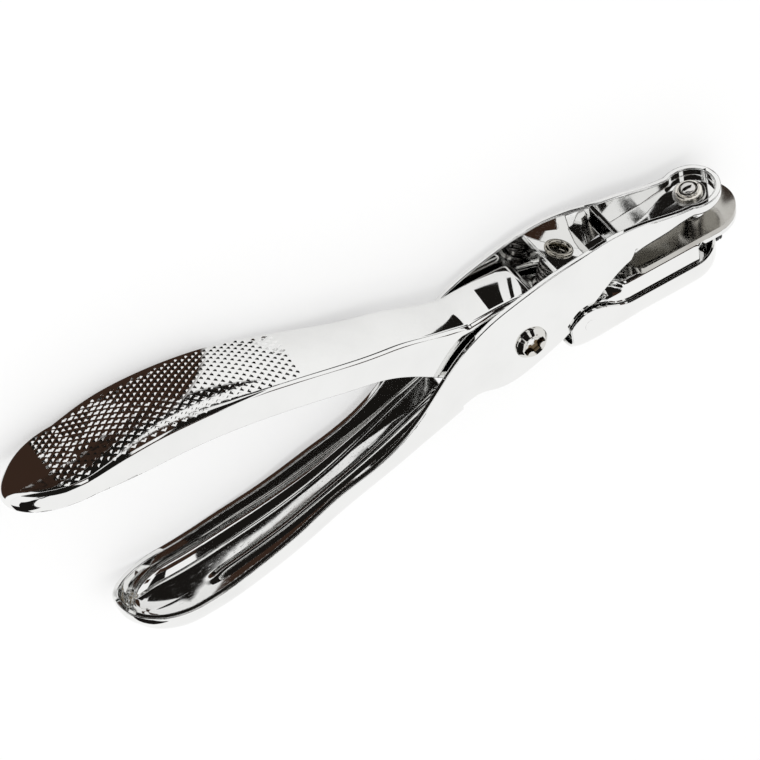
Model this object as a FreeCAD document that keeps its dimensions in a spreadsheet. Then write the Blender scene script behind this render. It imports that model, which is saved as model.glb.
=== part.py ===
import FreeCAD, Part
import Sketcher
import math
import os

# Hand punch for paper: two crossing pressed-steel levers on one pivot, a round
# punch in the upper jaw, a die plate on the lower jaw and a chip tray under it.
#
# Frame: millimetres. The tool lies on its side. +X runs along the jaws to their
# tip, +Y from the lower handle to the upper one, +Z up along the pivot axis.
# The origin is on the pivot axis, in the plane that the tool rests on.

Vector = FreeCAD.Vector
Placement = FreeCAD.Placement
Rotation = FreeCAD.Rotation

DOC = FreeCAD.newDocument("hand_punch")

SIZES = [
    # overall
    ("handle_width", 18.0, "widest span of both handles, which is the height as it lies"),
    ("body_width", 14.5, "lower lever over its side walls at the pivot"),
    ("sheet_wall", 1.2, "thickness of the sheet of both levers"),
    ("lower_handle_length", 92.2, "pivot axis to the tip of the lower handle"),
    ("upper_handle_length", 106.0, "pivot axis to the tip of the upper handle"),
    ("punch_reach", 42.6, "pivot axis to the punch axis"),
    ("closing_angle", 3.3, "turn that brings the punch just through the die, degrees"),
    ("upper_jaw_width", 10.7, "upper jaw over its walls between throat and cup"),
    ("cup_radius", 6.0, "outside of the round cup at the upper jaw's tip"),
    # pivot
    ("side_gap", 0.65, "between the walls of the two levers, each side"),
    ("barrel_radius", 2.3, "outside of the barrel nut"),
    ("barrel_fit", 0.05, "radial running clearance on the barrel"),
    ("screw_radius", 1.45, "shank of the pivot screw"),
    ("thread_gap", 0.03, "radial gap where a screw or pin is fixed in its hole"),
    ("screw_head_radius", 3.5, "pivot screw's and barrel nut's heads"),
    ("screw_head_height", 1.4, "pivot screw's head above the lever's wall"),
    ("recess_radius", 2.1, "drive recess in the pivot screw's head"),
    ("recess_depth", 1.0, "depth of the drive recess"),
    ("washer_thickness", 0.5, "pivot washers"),
    ("washer_radius", 4.6, "outside of the pivot washers"),
    ("bush_wall", 0.9, "wall of the pivot bush"),
    # punch and die
    ("punch_radius", 2.2, "cutting end of the punch"),
    ("punch_tip_height", 4.0, "punch's lower end above the pivot axis, jaws open"),
    ("punch_head_radius", 2.7, "riveted head of the punch"),
    ("punch_head_height", 1.15, "height of the punch's head"),
    ("punch_washer_radius", 3.3, "washer under the punch's head"),
    ("punch_washer_height", 0.5, "thickness of that washer"),
    ("die_clearance", 0.22, "radial clearance between punch and die"),
    ("die_thickness", 1.3, "die plate"),
    ("die_seat", 1.8, "die plate's lower face above the pivot axis"),
    ("jaw_tip_overhang", 8.65, "tip of the lower jaw ahead of the punch axis"),
    ("rivet_radius", 1.2, "shank of the die plate's rivets"),
    ("rivet_pitch", 8.0, "between the two rivets of the die plate"),
    ("rivet_setback", 6.0, "front rivet behind the punch axis"),
    ("rivet_head_height", 0.7, "heads of those rivets under the jaw"),
    # return spring
    ("wire_radius", 0.42, "wire of the return spring"),
    ("coil_radius", 2.75, "return spring's mean radius"),
    ("coil_count", 5.0, "turns of the return spring"),
    ("bridge_slope", 22.0, "slope of the bridge between the lower lever's walls, degrees"),
    ("eyelet_radius", 2.15, "outside of the eyelet's barrel"),
    ("eyelet_wall", 0.35, "wall of the eyelet"),
    ("eyelet_flange", 2.9, "radius of the eyelet's flange"),
    # chip tray
    ("tray_wall", 0.6, "sheet of the chip tray"),
    ("tray_gap", 0.15, "between the tray's walls and the lower jaw, each side"),
    ("tray_pin_radius", 1.0, "hinge rivets of the tray"),
    ("tray_pin_x", 13.0, "hinge rivets ahead of the pivot axis"),
    ("tray_pin_drop", 3.4, "hinge rivets below the pivot axis"),
    ("tray_collar_radius", 1.4, "collars between the jaw and the tray's ears"),
    ("knob_radius", 1.2, "black knob at the tray's front"),
    ("knob_length", 2.3, "length of that knob"),
    ("knob_drop", 7.1, "knob's axis below the pivot axis"),
    ("stud_radius", 0.5, "stud that holds the knob"),
]

SHEET = DOC.addObject("Spreadsheet::Sheet", "sizes")
for row, (alias, number, meaning) in enumerate(SIZES, start=1):
    SHEET.set("A%d" % row, alias)
    SHEET.set("B%d" % row, str(number))
    SHEET.set("C%d" % row, meaning)
    SHEET.setAlias("B%d" % row, alias)
DOC.recompute()


def size(alias):
    """A driving dimension, read from the sheet."""
    return float(SHEET.get(alias))


# ---------------------------------------------------------------- shared lines
WALL = size("sheet_wall")
MIDDLE = size("handle_width") / 2
LOFT_SWELL = 0.06        # a lofted handle swells this far past its widest stations
HANDLE_HALF = MIDDLE - LOFT_SWELL
LOWER_HALF = size("body_width") / 2
UPPER_HALF = LOWER_HALF - WALL - size("side_gap")
JAW_HALF = size("upper_jaw_width") / 2
REACH = size("punch_reach")
JAW_TIP = REACH + size("jaw_tip_overhang")
DIE_TOP = size("die_seat") + size("die_thickness")
WEB_BELOW_DIE = size("die_seat") - WALL

THROAT = 16.0            # outlines ahead of this stretch with the punch's reach
NOMINAL_REACH = 42.6     # reach at which the outlines' numbers are true
LOWER_JOINT = -16.3      # where the lower lever's web ends and the plates begin
UPPER_JOINT = -11.0      # the crease of the upper lever
NOMINAL_LOWER = 92.2     # handle lengths at which the stations' numbers are true
NOMINAL_UPPER = 106.0
CUT_MARGIN = 3.0         # how far cutting shapes stand past what they cut


def ahead(x):
    """Place of an outline point along the jaws, for the actual reach."""
    if x <= THROAT:
        return x
    return THROAT + (x - THROAT) * (REACH - THROAT) / (NOMINAL_REACH - THROAT)


def behind(x, joint, nominal, actual):
    """Place of an outline point along a handle, for its actual length."""
    return joint + (x - joint) * (actual + joint) / (nominal + joint)


# ------------------------------------------------------------ document helpers
def origin_plane(body, role):
    return next(item for item in body.Origin.OriginFeatures if item.Role == role)


def new_body(label):
    body = DOC.addObject("PartDesign::Body", label)
    body.Label = label
    return body


def new_sketch(body, role, name, geometry, offset=None):
    """A sketch on one of the body's own origin planes; offset is an expression."""
    sketch = body.newObject("Sketcher::SketchObject", name)
    sketch.AttachmentSupport = [(origin_plane(body, role), "")]
    sketch.MapMode = "FlatFace"
    if offset:
        sketch.setExpression("AttachmentOffset.Base.z", offset)
    for item in geometry:
        sketch.addGeometry(item, False)
    return sketch


def pad(body, name, sketch, length, reverse=False):
    feature = body.newObject("PartDesign::Pad", name)
    feature.Profile = sketch
    feature.Reversed = reverse
    feature.setExpression("Length", length)
    return feature


def pocket_through(body, name, sketch):
    """A pocket through everything, both ways from its sketch."""
    feature = body.newObject("PartDesign::Pocket", name)
    feature.Profile = sketch
    feature.SideType = "Symmetric"
    feature.Type = "ThroughAll"
    return feature


def line(start, end):
    return Part.LineSegment(Vector(*start, 0), Vector(*end, 0))


def curve(points):
    spline = Part.BSplineCurve()
    spline.interpolate([Vector(x, y, 0) for x, y in points])
    return spline


def polygon(points):
    return [line(a, b) for a, b in zip(points, points[1:] + points[:1])]


def circle(x, y, radius):
    return Part.Circle(Vector(x, y, 0), Vector(0, 0, 1), radius)


def round_sketch(body, role, name, places, radius, offset=None):
    """Circles whose radii are bound to the sheet: places are (x, y), radius an expression."""
    sketch = new_sketch(body, role, name, [circle(x, y, 1.0) for x, y in places], offset)
    for index, (x, y) in enumerate(places):
        constraint = "radius_%d" % index
        sketch.addConstraint(Sketcher.Constraint("Radius", index, 1.0))
        sketch.renameConstraint(sketch.ConstraintCount - 1, constraint)
        sketch.setExpression("Constraints." + constraint, radius)
    return sketch


def boolean(kind, label, base, tools):
    """Part::Cut or Part::Common of one base and one or more tools."""
    if len(tools) > 1:
        tool = DOC.addObject("Part::MultiFuse", label + "_tools")
        tool.Shapes = tools
    else:
        tool = tools[0]
    result = DOC.addObject(kind, label)
    result.Label = label
    result.Base = base
    result.Tool = tool
    return result


def cylinder(label, radius, height, placement):
    """A Part::Cylinder; radius and height are expressions on the sheet."""
    solid = DOC.addObject("Part::Cylinder", label)
    solid.Label = label
    solid.setExpression("Radius", radius)
    solid.setExpression("Height", height)
    solid.Placement = placement
    return solid


# ------------------------------------------------------ pressed channel shells
# A station of a channel is (x, half width, open edge, web, corner radius, crown):
# the section's walls run from the open edge to the web, which bulges by the crown.
def channel_wire(station):
    x, half, edge, web, corner, crown = station
    up = 1 if edge > web else -1
    corner = min(corner, 0.9 * half, 0.9 * abs(edge - web))
    bend = corner * (1 - math.sqrt(0.5))
    left, right = MIDDLE - half, MIDDLE + half
    near_web = web + up * bend
    wall_end = web + up * corner
    edges = [
        Part.LineSegment(Vector(x, edge, left), Vector(x, wall_end, left)),
        Part.Arc(Vector(x, wall_end, left), Vector(x, near_web, left + bend),
                 Vector(x, web, left + corner)),
        Part.Arc(Vector(x, web, left + corner), Vector(x, web - up * crown, MIDDLE),
                 Vector(x, web, right - corner)),
        Part.Arc(Vector(x, web, right - corner), Vector(x, near_web, right - bend),
                 Vector(x, wall_end, right)),
        Part.LineSegment(Vector(x, wall_end, right), Vector(x, edge, right)),
        Part.LineSegment(Vector(x, edge, right), Vector(x, edge, left)),
    ]
    return Part.Wire([edge.toShape() for edge in edges])


def inner_station(station, wall):
    """The section one sheet's thickness inside another, carried out past its open edge."""
    x, half, edge, web, corner, crown = station
    up = 1 if edge > web else -1
    return (x, half - wall, edge + up * CUT_MARGIN, web + up * wall, max(corner - wall, 0.3), crown)


END_ANGLES = (22, 42, 58, 70, 79)        # degrees round a rounded end
LAST_ANGLE = math.radians(END_ANGLES[-1])


def rounded_end(station, reach, edge_rise, fall):
    """Stations that close a channel in a spoon, from its last straight station.

    The end is an ellipse in plan, reach long (negative towards -X). The open edge
    moves by edge_rise over the end, and the depth falls with the width to this power."""
    x, half, edge, web, corner, crown = station
    stations = []
    for degrees in END_ANGLES:
        angle = math.radians(degrees)
        width = math.cos(angle)
        lift = edge + edge_rise * (1 - width)
        depth = (web - edge) * width ** fall
        stations.append((x + reach * math.sin(angle), half * width, lift, lift + depth,
                         corner * width, crown * width))
    return stations


def inside_end(end, last, reach, wall):
    """The same end one sheet's thickness further in."""
    inside = []
    for station in end:
        x, half, edge, web, corner, crown = inner_station(station, wall)
        place = last[0] + (x - last[0]) * (1 - wall / abs(reach))
        inside.append((place, station[1] * (1 - wall / last[1]), edge, web, corner, crown))
    return inside


def loft(stations):
    return Part.makeLoft([channel_wire(station) for station in stations], True, False)


def channel_shell(label, stations, wall, reach, edge_rise, fall):
    """A pressed channel, open along one side and closed at its far end."""
    last = stations[-1]
    end = rounded_end(last, reach, edge_rise, fall)
    inside = [inner_station(station, wall) for station in stations]
    lead = (inside[0][0] - math.copysign(CUT_MARGIN, reach),) + inside[0][1:]
    outer = loft(stations + end)
    inner = loft([lead] + inside + inside_end(end, last, reach, wall))
    shell = DOC.addObject("Part::Feature", label)
    shell.Label = label
    shell.Shape = outer.cut(inner)
    return shell


# --------------------------------------------------------------- lower lever
def upper_jaw_plan(inset):
    """Half of the upper jaw in plan, as points (x, half width) from rear to cup.

    Returns the tapering side, then where the side meets the cup's circle."""
    half = JAW_HALF - inset
    taper = LOWER_HALF - JAW_HALF
    radius = size("cup_radius") - inset
    meet = REACH - math.sqrt(max(radius ** 2 - half ** 2, 0.01))
    side = [(6.0, half + taper), (12.0, half + 0.76 * taper), (ahead(20.0), half + 0.35 * taper),
            (ahead(29.0), half + 0.03 * taper), (meet, half)]
    return side, radius


def upper_jaw_outline(inset, rear):
    """The closed plan outline of the lower lever's front, in (x, z)."""
    side, radius = upper_jaw_plan(inset)
    top = [(x, MIDDLE + half) for x, half in side]
    low = [(x, MIDDLE - half) for x, half in side]
    nose = Part.Arc(Vector(*top[-1], 0), Vector(REACH + radius, MIDDLE, 0), Vector(*low[-1], 0))
    return [
        line((rear, low[0][1]), (rear, top[0][1])),
        line((rear, top[0][1]), top[0]),
        curve(top),
        nose,
        curve(low[::-1]),
        line(low[0], (rear, low[0][1])),
    ]


def trim_outline(outline, rear, front, reach_out):
    """The region outside a plan outline, as a frame around it."""
    low, high = MIDDLE - reach_out, MIDDLE + reach_out
    frame = polygon([(rear, low), (front, low), (front, high), (rear, high)])
    return frame + outline


LOWER_EDGE = [(20.5, 3.3), (25.6, 5.1), (30.7, 5.7), (35.8, 6.1), (40.7, 6.6), (50.5, 7.0)]
UPPER_RIM = [(5.0, 13.3), (10.1, 14.0), (15.3, 14.1), (20.5, 13.6), (25.6, 12.8), (30.7, 11.7),
             (35.8, 10.3), (40.7, 9.6), (45.0, 9.7), (50.5, 9.9)]
NARROW_LOWER = 7.25      # half widths in the tables where a handle is narrow and widest
NARROW_UPPER = 5.4
WIDEST_STATION = 9.0
LOWER_CHANNEL = [
    (-16.3, 7.25, 4.6, -9.3, 2.0, 0.1), (-20, 7.25, 1.1, -10.9, 2.4, 0.1),
    (-25, 7.25, -3.9, -12.8, 2.8, 0.1), (-30, 7.25, -7.7, -14.8, 3.2, 0.15),
    (-36, 7.25, -10.6, -17.0, 3.7, 0.2), (-45, 7.3, -12.9, -20.0, 4.2, 0.2),
    (-55, 8.0, -16.0, -23.0, 4.6, 0.3), (-65, 8.7, -18.1, -25.1, 5.0, 0.3),
    (-74, 9.0, -19.6, -26.4, 5.2, 0.3), (-78.5, 9.0, -19.9, -26.6, 5.2, 0.3),
]


def lower_station(station):
    x, half, edge, web, corner, crown = station
    place = behind(x, LOWER_JOINT, NOMINAL_LOWER, size("lower_handle_length"))
    share = (half - NARROW_LOWER) / (WIDEST_STATION - NARROW_LOWER)
    width = LOWER_HALF + share * (HANDLE_HALF - LOWER_HALF)
    return (place, width, edge, web, corner, crown)


def lower_trough():
    stations = [lower_station(station) for station in LOWER_CHANNEL]
    reach = -(size("lower_handle_length") + stations[-1][0]) / math.sin(LAST_ANGLE)
    return channel_shell("lower_trough", stations, WALL, reach, edge_rise=3.2, fall=0.7)


BRIDGE_REAR = (8.4, 13.5)
BRIDGE_LENGTH = 10.4
BRIDGE_EYE = 4.4         # eyelet's axis ahead of the bridge's rear edge


def bridge_direction():
    slope = math.radians(size("bridge_slope"))
    return Vector(math.cos(slope), -math.sin(slope), 0)


def bridge_normal():
    """Points from the spring up through the bridge."""
    slope = math.radians(size("bridge_slope"))
    return Vector(math.sin(slope), math.cos(slope), 0)


def bridge_point(along, above):
    """A point by its place along the bridge and above its top face, at mid width."""
    start = Vector(BRIDGE_REAR[0], BRIDGE_REAR[1], MIDDLE)
    return start + bridge_direction() * along + bridge_normal() * above


def bridge_band():
    corners = [(0, 0), (BRIDGE_LENGTH, 0), (BRIDGE_LENGTH, -WALL), (0, -WALL)]
    return polygon([tuple(bridge_point(along, above))[:2] for along, above in corners])


FAR_OUT = 22.0           # half height of the shapes that cut right through


def well_outline():
    """Side outline of the open well round the pivot; the bridge stands in it."""
    rear = LOWER_JOINT - CUT_MARGIN
    lip, heel = ahead(22.4), ahead(26.2)
    bend_low, bend_top = (ahead(23.3), 5.65), (lip, 7.6)
    return [
        line((rear, -FAR_OUT), (heel, -FAR_OUT)),
        line((heel, -FAR_OUT), (heel, 4.5)),
        curve([(heel, 4.5), bend_low, bend_top]),
        line(bend_top, (lip, FAR_OUT)),
        line((lip, FAR_OUT), (rear, FAR_OUT)),
        line((rear, FAR_OUT), (rear, -FAR_OUT)),
    ] + bridge_band()


def boat_outline():
    """Side outline of the hollow of the upper jaw, above its floor and ahead of its lip."""
    lip = ahead(22.4) + WALL
    fillet_top = (lip, 9.6)
    floor = [(ahead(x), y + WALL) for x, y in LOWER_EDGE[2:]]
    heel = (ahead(27.2), 6.75)
    front = floor[-1][0]
    return [
        line((lip, FAR_OUT), fillet_top),
        Part.Arc(Vector(*fillet_top, 0), Vector(lip + 0.85, 7.6, 0), Vector(*heel, 0)),
        curve([heel] + floor),
        line(floor[-1], (front, FAR_OUT)),
        line((front, FAR_OUT), (lip, FAR_OUT)),
    ]


def lower_side_outline():
    """Side outline of the lower lever ahead of its trough, from rim to lower edge."""
    rim = [(LOWER_JOINT, 4.6), (-10, 8.9), (-5, 10.9), (0, 12.2)]
    rim += [(ahead(x), y) for x, y in UPPER_RIM]
    rear_low = (LOWER_JOINT, -7.3)
    under = [(-12.4, -6.5), (-8.6, -7.7), (-4.5, -8.0), (0, -6.9), (6.1, -4.6), (10.1, -2.6), (14.1, -0.1)]
    under += [(ahead(x), y) for x, y in LOWER_EDGE]
    return [
        line(rear_low, rim[0]),
        curve(rim),
        line(rim[-1], under[-1]),
        curve(under[::-1]),
        line(under[0], rear_low),
    ]


def prism(label, role, geometry, length, offset=None):
    """A body with one pad; on XZ_Plane the pad grows towards -Y."""
    body = new_body(label)
    sketch = new_sketch(body, role, "outline", geometry, offset)
    pad(body, "block", sketch, length)
    return body


def plan_prism(label, outline):
    """A plan outline carried through the whole height of the jaws."""
    return prism(label, "XZ_Plane", outline, "2 * %g" % FAR_OUT, "-%g" % FAR_OUT)


def lower_plates():
    """Side walls, jaw floor, lip and bridge of the lower lever, ahead of its trough."""
    rear = LOWER_JOINT - CUT_MARGIN
    blank = boolean("Part::Common", "lower_front_blank",
                    prism("lower_side", "XY_Plane", lower_side_outline(), "sizes.handle_width"),
                    [plan_prism("lower_plan", upper_jaw_outline(0, rear))])
    wells = [prism("pivot_well", "XY_Plane", well_outline(), "sizes.handle_width"),
             prism("jaw_hollow", "XY_Plane", boat_outline(), "sizes.handle_width")]
    inside = boolean("Part::Common", "lower_front_hollow",
                     plan_prism("lower_inside_plan", upper_jaw_outline(WALL, rear - 1)), wells)
    return boolean("Part::Cut", "lower_plates", blank, [inside])


def along_axis(origin, direction):
    """Placement that turns +Z onto a direction, at a point."""
    return Placement(Vector(*origin), Rotation(Vector(0, 0, 1), Vector(*direction)))


def punch_axis():
    """Direction of the punch, square to the die plate when the jaws are closed."""
    turn = math.radians(size("closing_angle"))
    return Vector(-math.sin(turn), math.cos(turn), 0)


def punch_point(height):
    """Point on the punch's axis at a height above its cutting end."""
    turn = math.radians(size("closing_angle"))
    centre_x = REACH * math.cos(turn) - DIE_TOP * math.sin(turn)
    centre_y = REACH * math.sin(turn) + DIE_TOP * math.cos(turn)
    axis = punch_axis()
    drop = (size("punch_tip_height") - centre_y) / axis.y
    return Vector(centre_x, centre_y, MIDDLE) + axis * (drop + height)


SEAT_DEPTH = 0.2         # the floor is coined flat this deep under punch and washer
NECK_SHARE = 0.7         # the punch's neck, as a share of its radius


def between(points, x):
    """Height of a row of points at x, by straight lines between them."""
    for (x0, y0), (x1, y1) in zip(points, points[1:]):
        if x0 <= x <= x1:
            return y0 + (y1 - y0) * (x - x0) / (x1 - x0)
    raise ValueError("no points round x = %g" % x)


def punch_heights():
    """Heights above the cutting end: shoulder, washer's seat, collar's seat, neck's top."""
    floor_under = between([(ahead(x), y) for x, y in LOWER_EDGE], REACH)
    shoulder = (floor_under + SEAT_DEPTH - punch_point(0).y) / punch_axis().y
    washer = shoulder + WALL - 2 * SEAT_DEPTH
    collar = washer + size("punch_washer_height")
    return shoulder, washer, collar, collar + size("punch_head_height")


def punch_seats():
    """Flats coined into the jaw's floor, under the punch's shoulder and its washer."""
    shoulder, washer, _, _ = punch_heights()
    below = cylinder("shoulder_seat", "sizes.punch_radius + 0.3", "%g" % shoulder,
                     along_axis(punch_point(0), punch_axis()))
    above = cylinder("washer_seat", "sizes.punch_washer_radius + 0.2", "4",
                     along_axis(punch_point(washer), punch_axis()))
    return [below, above]


def lower_lever():
    """Lower handle and upper jaw, one pressing."""
    plates = lower_plates()
    trough = lower_trough()
    blank = DOC.addObject("Part::MultiFuse", "lower_blank")
    blank.Shapes = [plates, trough]
    punch_hole = cylinder("punch_hole", "%g * sizes.punch_radius + sizes.thread_gap" % NECK_SHARE, "9",
                          along_axis(punch_point(0), punch_axis()))
    eye = cylinder("eyelet_hole", "sizes.eyelet_radius + sizes.thread_gap", "6",
                   along_axis(bridge_point(BRIDGE_EYE, -3), bridge_normal()))
    pivot = cylinder("lower_pivot_hole", "sizes.barrel_radius + sizes.thread_gap", "sizes.handle_width",
                     Placement())
    return boolean("Part::Cut", "lower_lever", blank, [pivot, punch_hole, eye] + punch_seats())


# --------------------------------------------------------------- upper lever
TRAY_HALF = LOWER_HALF + size("tray_gap") + size("tray_wall")
UPPER_CHANNEL = [
    (-11, 5.4, -4.0, 10.0, 1.4, 0.1), (-15, 5.4, -1.9, 11.2, 1.5, 0.1),
    (-20, 5.6, 2.0, 13.1, 1.6, 0.15), (-25, 5.9, 6.0, 15.0, 1.8, 0.2),
    (-30, 6.3, 9.1, 16.4, 2.0, 0.3), (-37, 6.8, 11.7, 18.6, 2.2, 0.5),
    (-45, 7.5, 14.7, 21.6, 2.5, 0.9), (-55, 8.3, 18.1, 25.0, 2.8, 1.5),
    (-65, 8.8, 20.6, 27.3, 3.0, 2.0), (-75, 9.0, 21.8, 28.4, 3.1, 2.2),
    (-83, 9.0, 22.2, 28.2, 3.0, 2.0), (-91, 8.5, 22.6, 26.9, 2.4, 1.4),
]


def upper_station(station):
    x, half, edge, web, corner, crown = station
    place = behind(x, UPPER_JOINT, NOMINAL_UPPER, size("upper_handle_length"))
    share = (half - NARROW_UPPER) / (WIDEST_STATION - NARROW_UPPER)
    width = UPPER_HALF + share * (HANDLE_HALF - UPPER_HALF)
    return (place, width, edge, web, corner, crown)


def upper_trough():
    stations = [upper_station(station) for station in UPPER_CHANNEL]
    reach = -(size("upper_handle_length") + stations[-1][0]) / math.sin(LAST_ANGLE)
    return channel_shell("upper_trough", stations, WALL, reach, edge_rise=1.0, fall=0.7)


# Outer face of the upper lever's web over the pivot: crease, hump, roll and drop.
CREASE = (UPPER_JOINT, 10.1)
HUMP = (-4.0, 10.35)
CROWN = (2.4, 9.9)
ROLL = (3.75, 9.35)
SHOULDER = (4.3, 8.2)
DROP = (4.9, 5.9)
KNEE = (5.15, 5.15)
# From there it slopes down under the spring, then runs flat under the die plate.
SEAT_REAR = (6.0, 4.75)
SEAT_FRONT = (13.2, size("die_seat") + 0.2)
FLAT_REAR = (14.4, size("die_seat"))


def arc(start, middle, end):
    return Part.Arc(Vector(*start, 0), Vector(*middle, 0), Vector(*end, 0))


def web_top(end):
    """The web's outer face, from the crease to a point on its flat."""
    return [
        arc(CREASE, HUMP, CROWN),
        arc(CROWN, ROLL, SHOULDER),
        line(SHOULDER, DROP),
        arc(DROP, KNEE, SEAT_REAR),
        line(SEAT_REAR, SEAT_FRONT),
        line(SEAT_FRONT, FLAT_REAR),
        line(FLAT_REAR, end),
    ]


def inward(point, dx, dy):
    """A point of the web's inner face, from the outer one and the sheet's direction."""
    return (point[0] + dx * WALL, point[1] + dy * WALL)


def upper_web_band():
    """Side outline of the web: crease, hump, drop, spring seat and jaw plate."""
    tip = (JAW_TIP + CUT_MARGIN, size("die_seat"))
    _, normal = seat_direction()
    seat_rear = inward(SEAT_REAR, -normal.x, -normal.y)
    seat_front = inward(SEAT_FRONT, -normal.x, -normal.y)
    drop = inward(DROP, -1.0, 0.0)
    shoulder = inward(SHOULDER, -1.0, -0.1)
    crown = inward(CROWN, -0.3, -1.0)
    crease = inward(CREASE, 0.0, -1.0)
    return web_top(tip) + [
        line(tip, inward(tip, 0.0, -1.0)),
        line(inward(tip, 0.0, -1.0), inward(FLAT_REAR, 0.0, -1.0)),
        line(inward(FLAT_REAR, 0.0, -1.0), seat_front),
        line(seat_front, seat_rear),
        arc(seat_rear, inward(KNEE, -0.83, -0.58), drop),
        line(drop, shoulder),
        arc(shoulder, inward(ROLL, -0.83, -0.67), crown),
        arc(crown, inward(HUMP, 0.0, -1.0), crease),
        line(crease, CREASE),
    ]


def upper_side_outline():
    """Side outline of the upper lever's walls around the pivot and along the jaw."""
    walls_end = ahead(39.0)
    top = (walls_end, size("die_seat"))
    corner = (walls_end, -2.8)
    foot = (walls_end - 2.2, -5.0)
    under = [(UPPER_JOINT, -4.0), (-7.0, -5.6), (0.0, -6.3), (7.0, -5.8)]
    under += [(ahead(20.0), -5.2), (ahead(30.0), foot[1])]
    return web_top(top) + [
        line(top, corner),
        arc(corner, (walls_end - 0.65, -4.35), foot),
        line(foot, under[-1]),
        curve(under[::-1]),
        line(under[0], CREASE),
    ]


def waist_points(inset):
    """Half plan of the upper lever from the pivot to the full width of the jaw."""
    narrow = UPPER_HALF - inset
    wide = LOWER_HALF - inset
    return [(6.0, narrow), (11.0, narrow - 0.35), (THROAT, narrow - 0.9), (ahead(19.6), narrow - 1.1),
            (ahead(21.2), narrow - 0.5), (ahead(22.9), wide - 0.35), (ahead(24.5), wide)]


def jaw_outline(inset, rear, nose_reach):
    """Closed plan outline of the upper lever ahead of its crease, in (x, z)."""
    side = waist_points(inset)
    radius = LOWER_HALF - inset
    centre = nose_reach - radius
    top = [(x, MIDDLE + width) for x, width in side]
    low = [(x, MIDDLE - width) for x, width in side]
    nose_top = (centre, MIDDLE + radius)
    nose_low = (centre, MIDDLE - radius)
    return [
        line((rear, low[0][1]), (rear, top[0][1])),
        line((rear, top[0][1]), top[0]),
        curve(top),
        line(top[-1], nose_top),
        arc(nose_top, (nose_reach, MIDDLE), nose_low),
        line(nose_low, low[-1]),
        curve(low[::-1]),
        line(low[0], (rear, low[0][1])),
    ]


def upper_plates():
    """Walls and web of the upper lever ahead of its crease, with the lower jaw."""
    body = new_body("upper_plates")
    walls = new_sketch(body, "XY_Plane", "wall_outline", upper_side_outline())
    pad(body, "wall_pad", walls, "sizes.handle_width")
    rear = UPPER_JOINT - CUT_MARGIN
    tip = JAW_TIP
    inside = new_sketch(body, "XZ_Plane", "inside_plan", jaw_outline(WALL, rear, tip))
    pocket_through(body, "inside_cut", inside)
    web = new_sketch(body, "XY_Plane", "web_band", upper_web_band())
    pad(body, "web_pad", web, "sizes.handle_width")
    frame = trim_outline(jaw_outline(0, rear, tip), rear - 1, tip + 2 * CUT_MARGIN, MIDDLE + CUT_MARGIN)
    outside = new_sketch(body, "XZ_Plane", "outside_plan", frame)
    pocket_through(body, "outside_cut", outside)
    pivot = round_sketch(body, "XY_Plane", "pivot_hole", [(0, 0)],
                         "sizes.barrel_radius + sizes.bush_wall + sizes.thread_gap")
    pocket_through(body, "pivot_cut", pivot)
    pins = round_sketch(body, "XY_Plane", "tray_pin_holes",
                        [(size("tray_pin_x"), -size("tray_pin_drop"))],
                        "sizes.tray_pin_radius + sizes.thread_gap")
    pocket_through(body, "tray_pin_cut", pins)
    return body


def rivet_places():
    """Where the die plate's rivets stand, as (x, z)."""
    front = REACH - size("rivet_setback")
    return [(front - size("rivet_pitch"), MIDDLE), (front, MIDDLE)]


def upper_lever():
    """Upper handle and lower jaw, one pressing."""
    plates = upper_plates()
    trough = upper_trough()
    blank = DOC.addObject("Part::MultiFuse", "upper_blank")
    blank.Shapes = [plates, trough]
    up = Vector(0, 1, 0)
    chip_hole = cylinder("chip_hole", "sizes.punch_radius + 1.5 * sizes.die_clearance", "4",
                         along_axis((REACH, WEB_BELOW_DIE - 1, MIDDLE), up))
    tools = [chip_hole]
    for index, (x, z) in enumerate(rivet_places()):
        tools.append(cylinder("web_rivet_hole_%d" % index, "sizes.rivet_radius + sizes.thread_gap", "4",
                              along_axis((x, WEB_BELOW_DIE - 1, z), up)))
    return boolean("Part::Cut", "upper_lever", blank, tools)


def die_plate():
    """Flat plate with the cutting hole, on the lower jaw."""
    body = new_body("die_plate")
    rear, shoulder = ahead(22.0), ahead(25.6)
    narrow = JAW_HALF - WALL - 0.55
    radius = LOWER_HALF
    centre = JAW_TIP - radius
    side = [(rear, narrow - 0.6), (rear + 1.3, narrow), (shoulder - 0.4, radius - 1.2),
            (shoulder + 0.8, radius)]
    top = [(x, MIDDLE + width) for x, width in side]
    low = [(x, MIDDLE - width) for x, width in side]
    nose_top = (centre, MIDDLE + radius)
    nose_low = (centre, MIDDLE - radius)
    outline = [
        line(low[0], top[0]),
        curve(top),
        line(top[-1], nose_top),
        arc(nose_top, (centre + radius, MIDDLE), nose_low),
        line(nose_low, low[-1]),
        curve(low[::-1]),
    ]
    sketch = new_sketch(body, "XZ_Plane", "die_outline", outline, "-sizes.die_seat - sizes.die_thickness")
    pad(body, "die_pad", sketch, "sizes.die_thickness")
    hole = round_sketch(body, "XZ_Plane", "die_hole", [(REACH, MIDDLE)],
                        "sizes.punch_radius + sizes.die_clearance")
    pocket_through(body, "die_cut", hole)
    rivets = round_sketch(body, "XZ_Plane", "rivet_holes", rivet_places(),
                          "sizes.rivet_radius + sizes.thread_gap")
    pocket_through(body, "rivet_cut", rivets)
    return body


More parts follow.
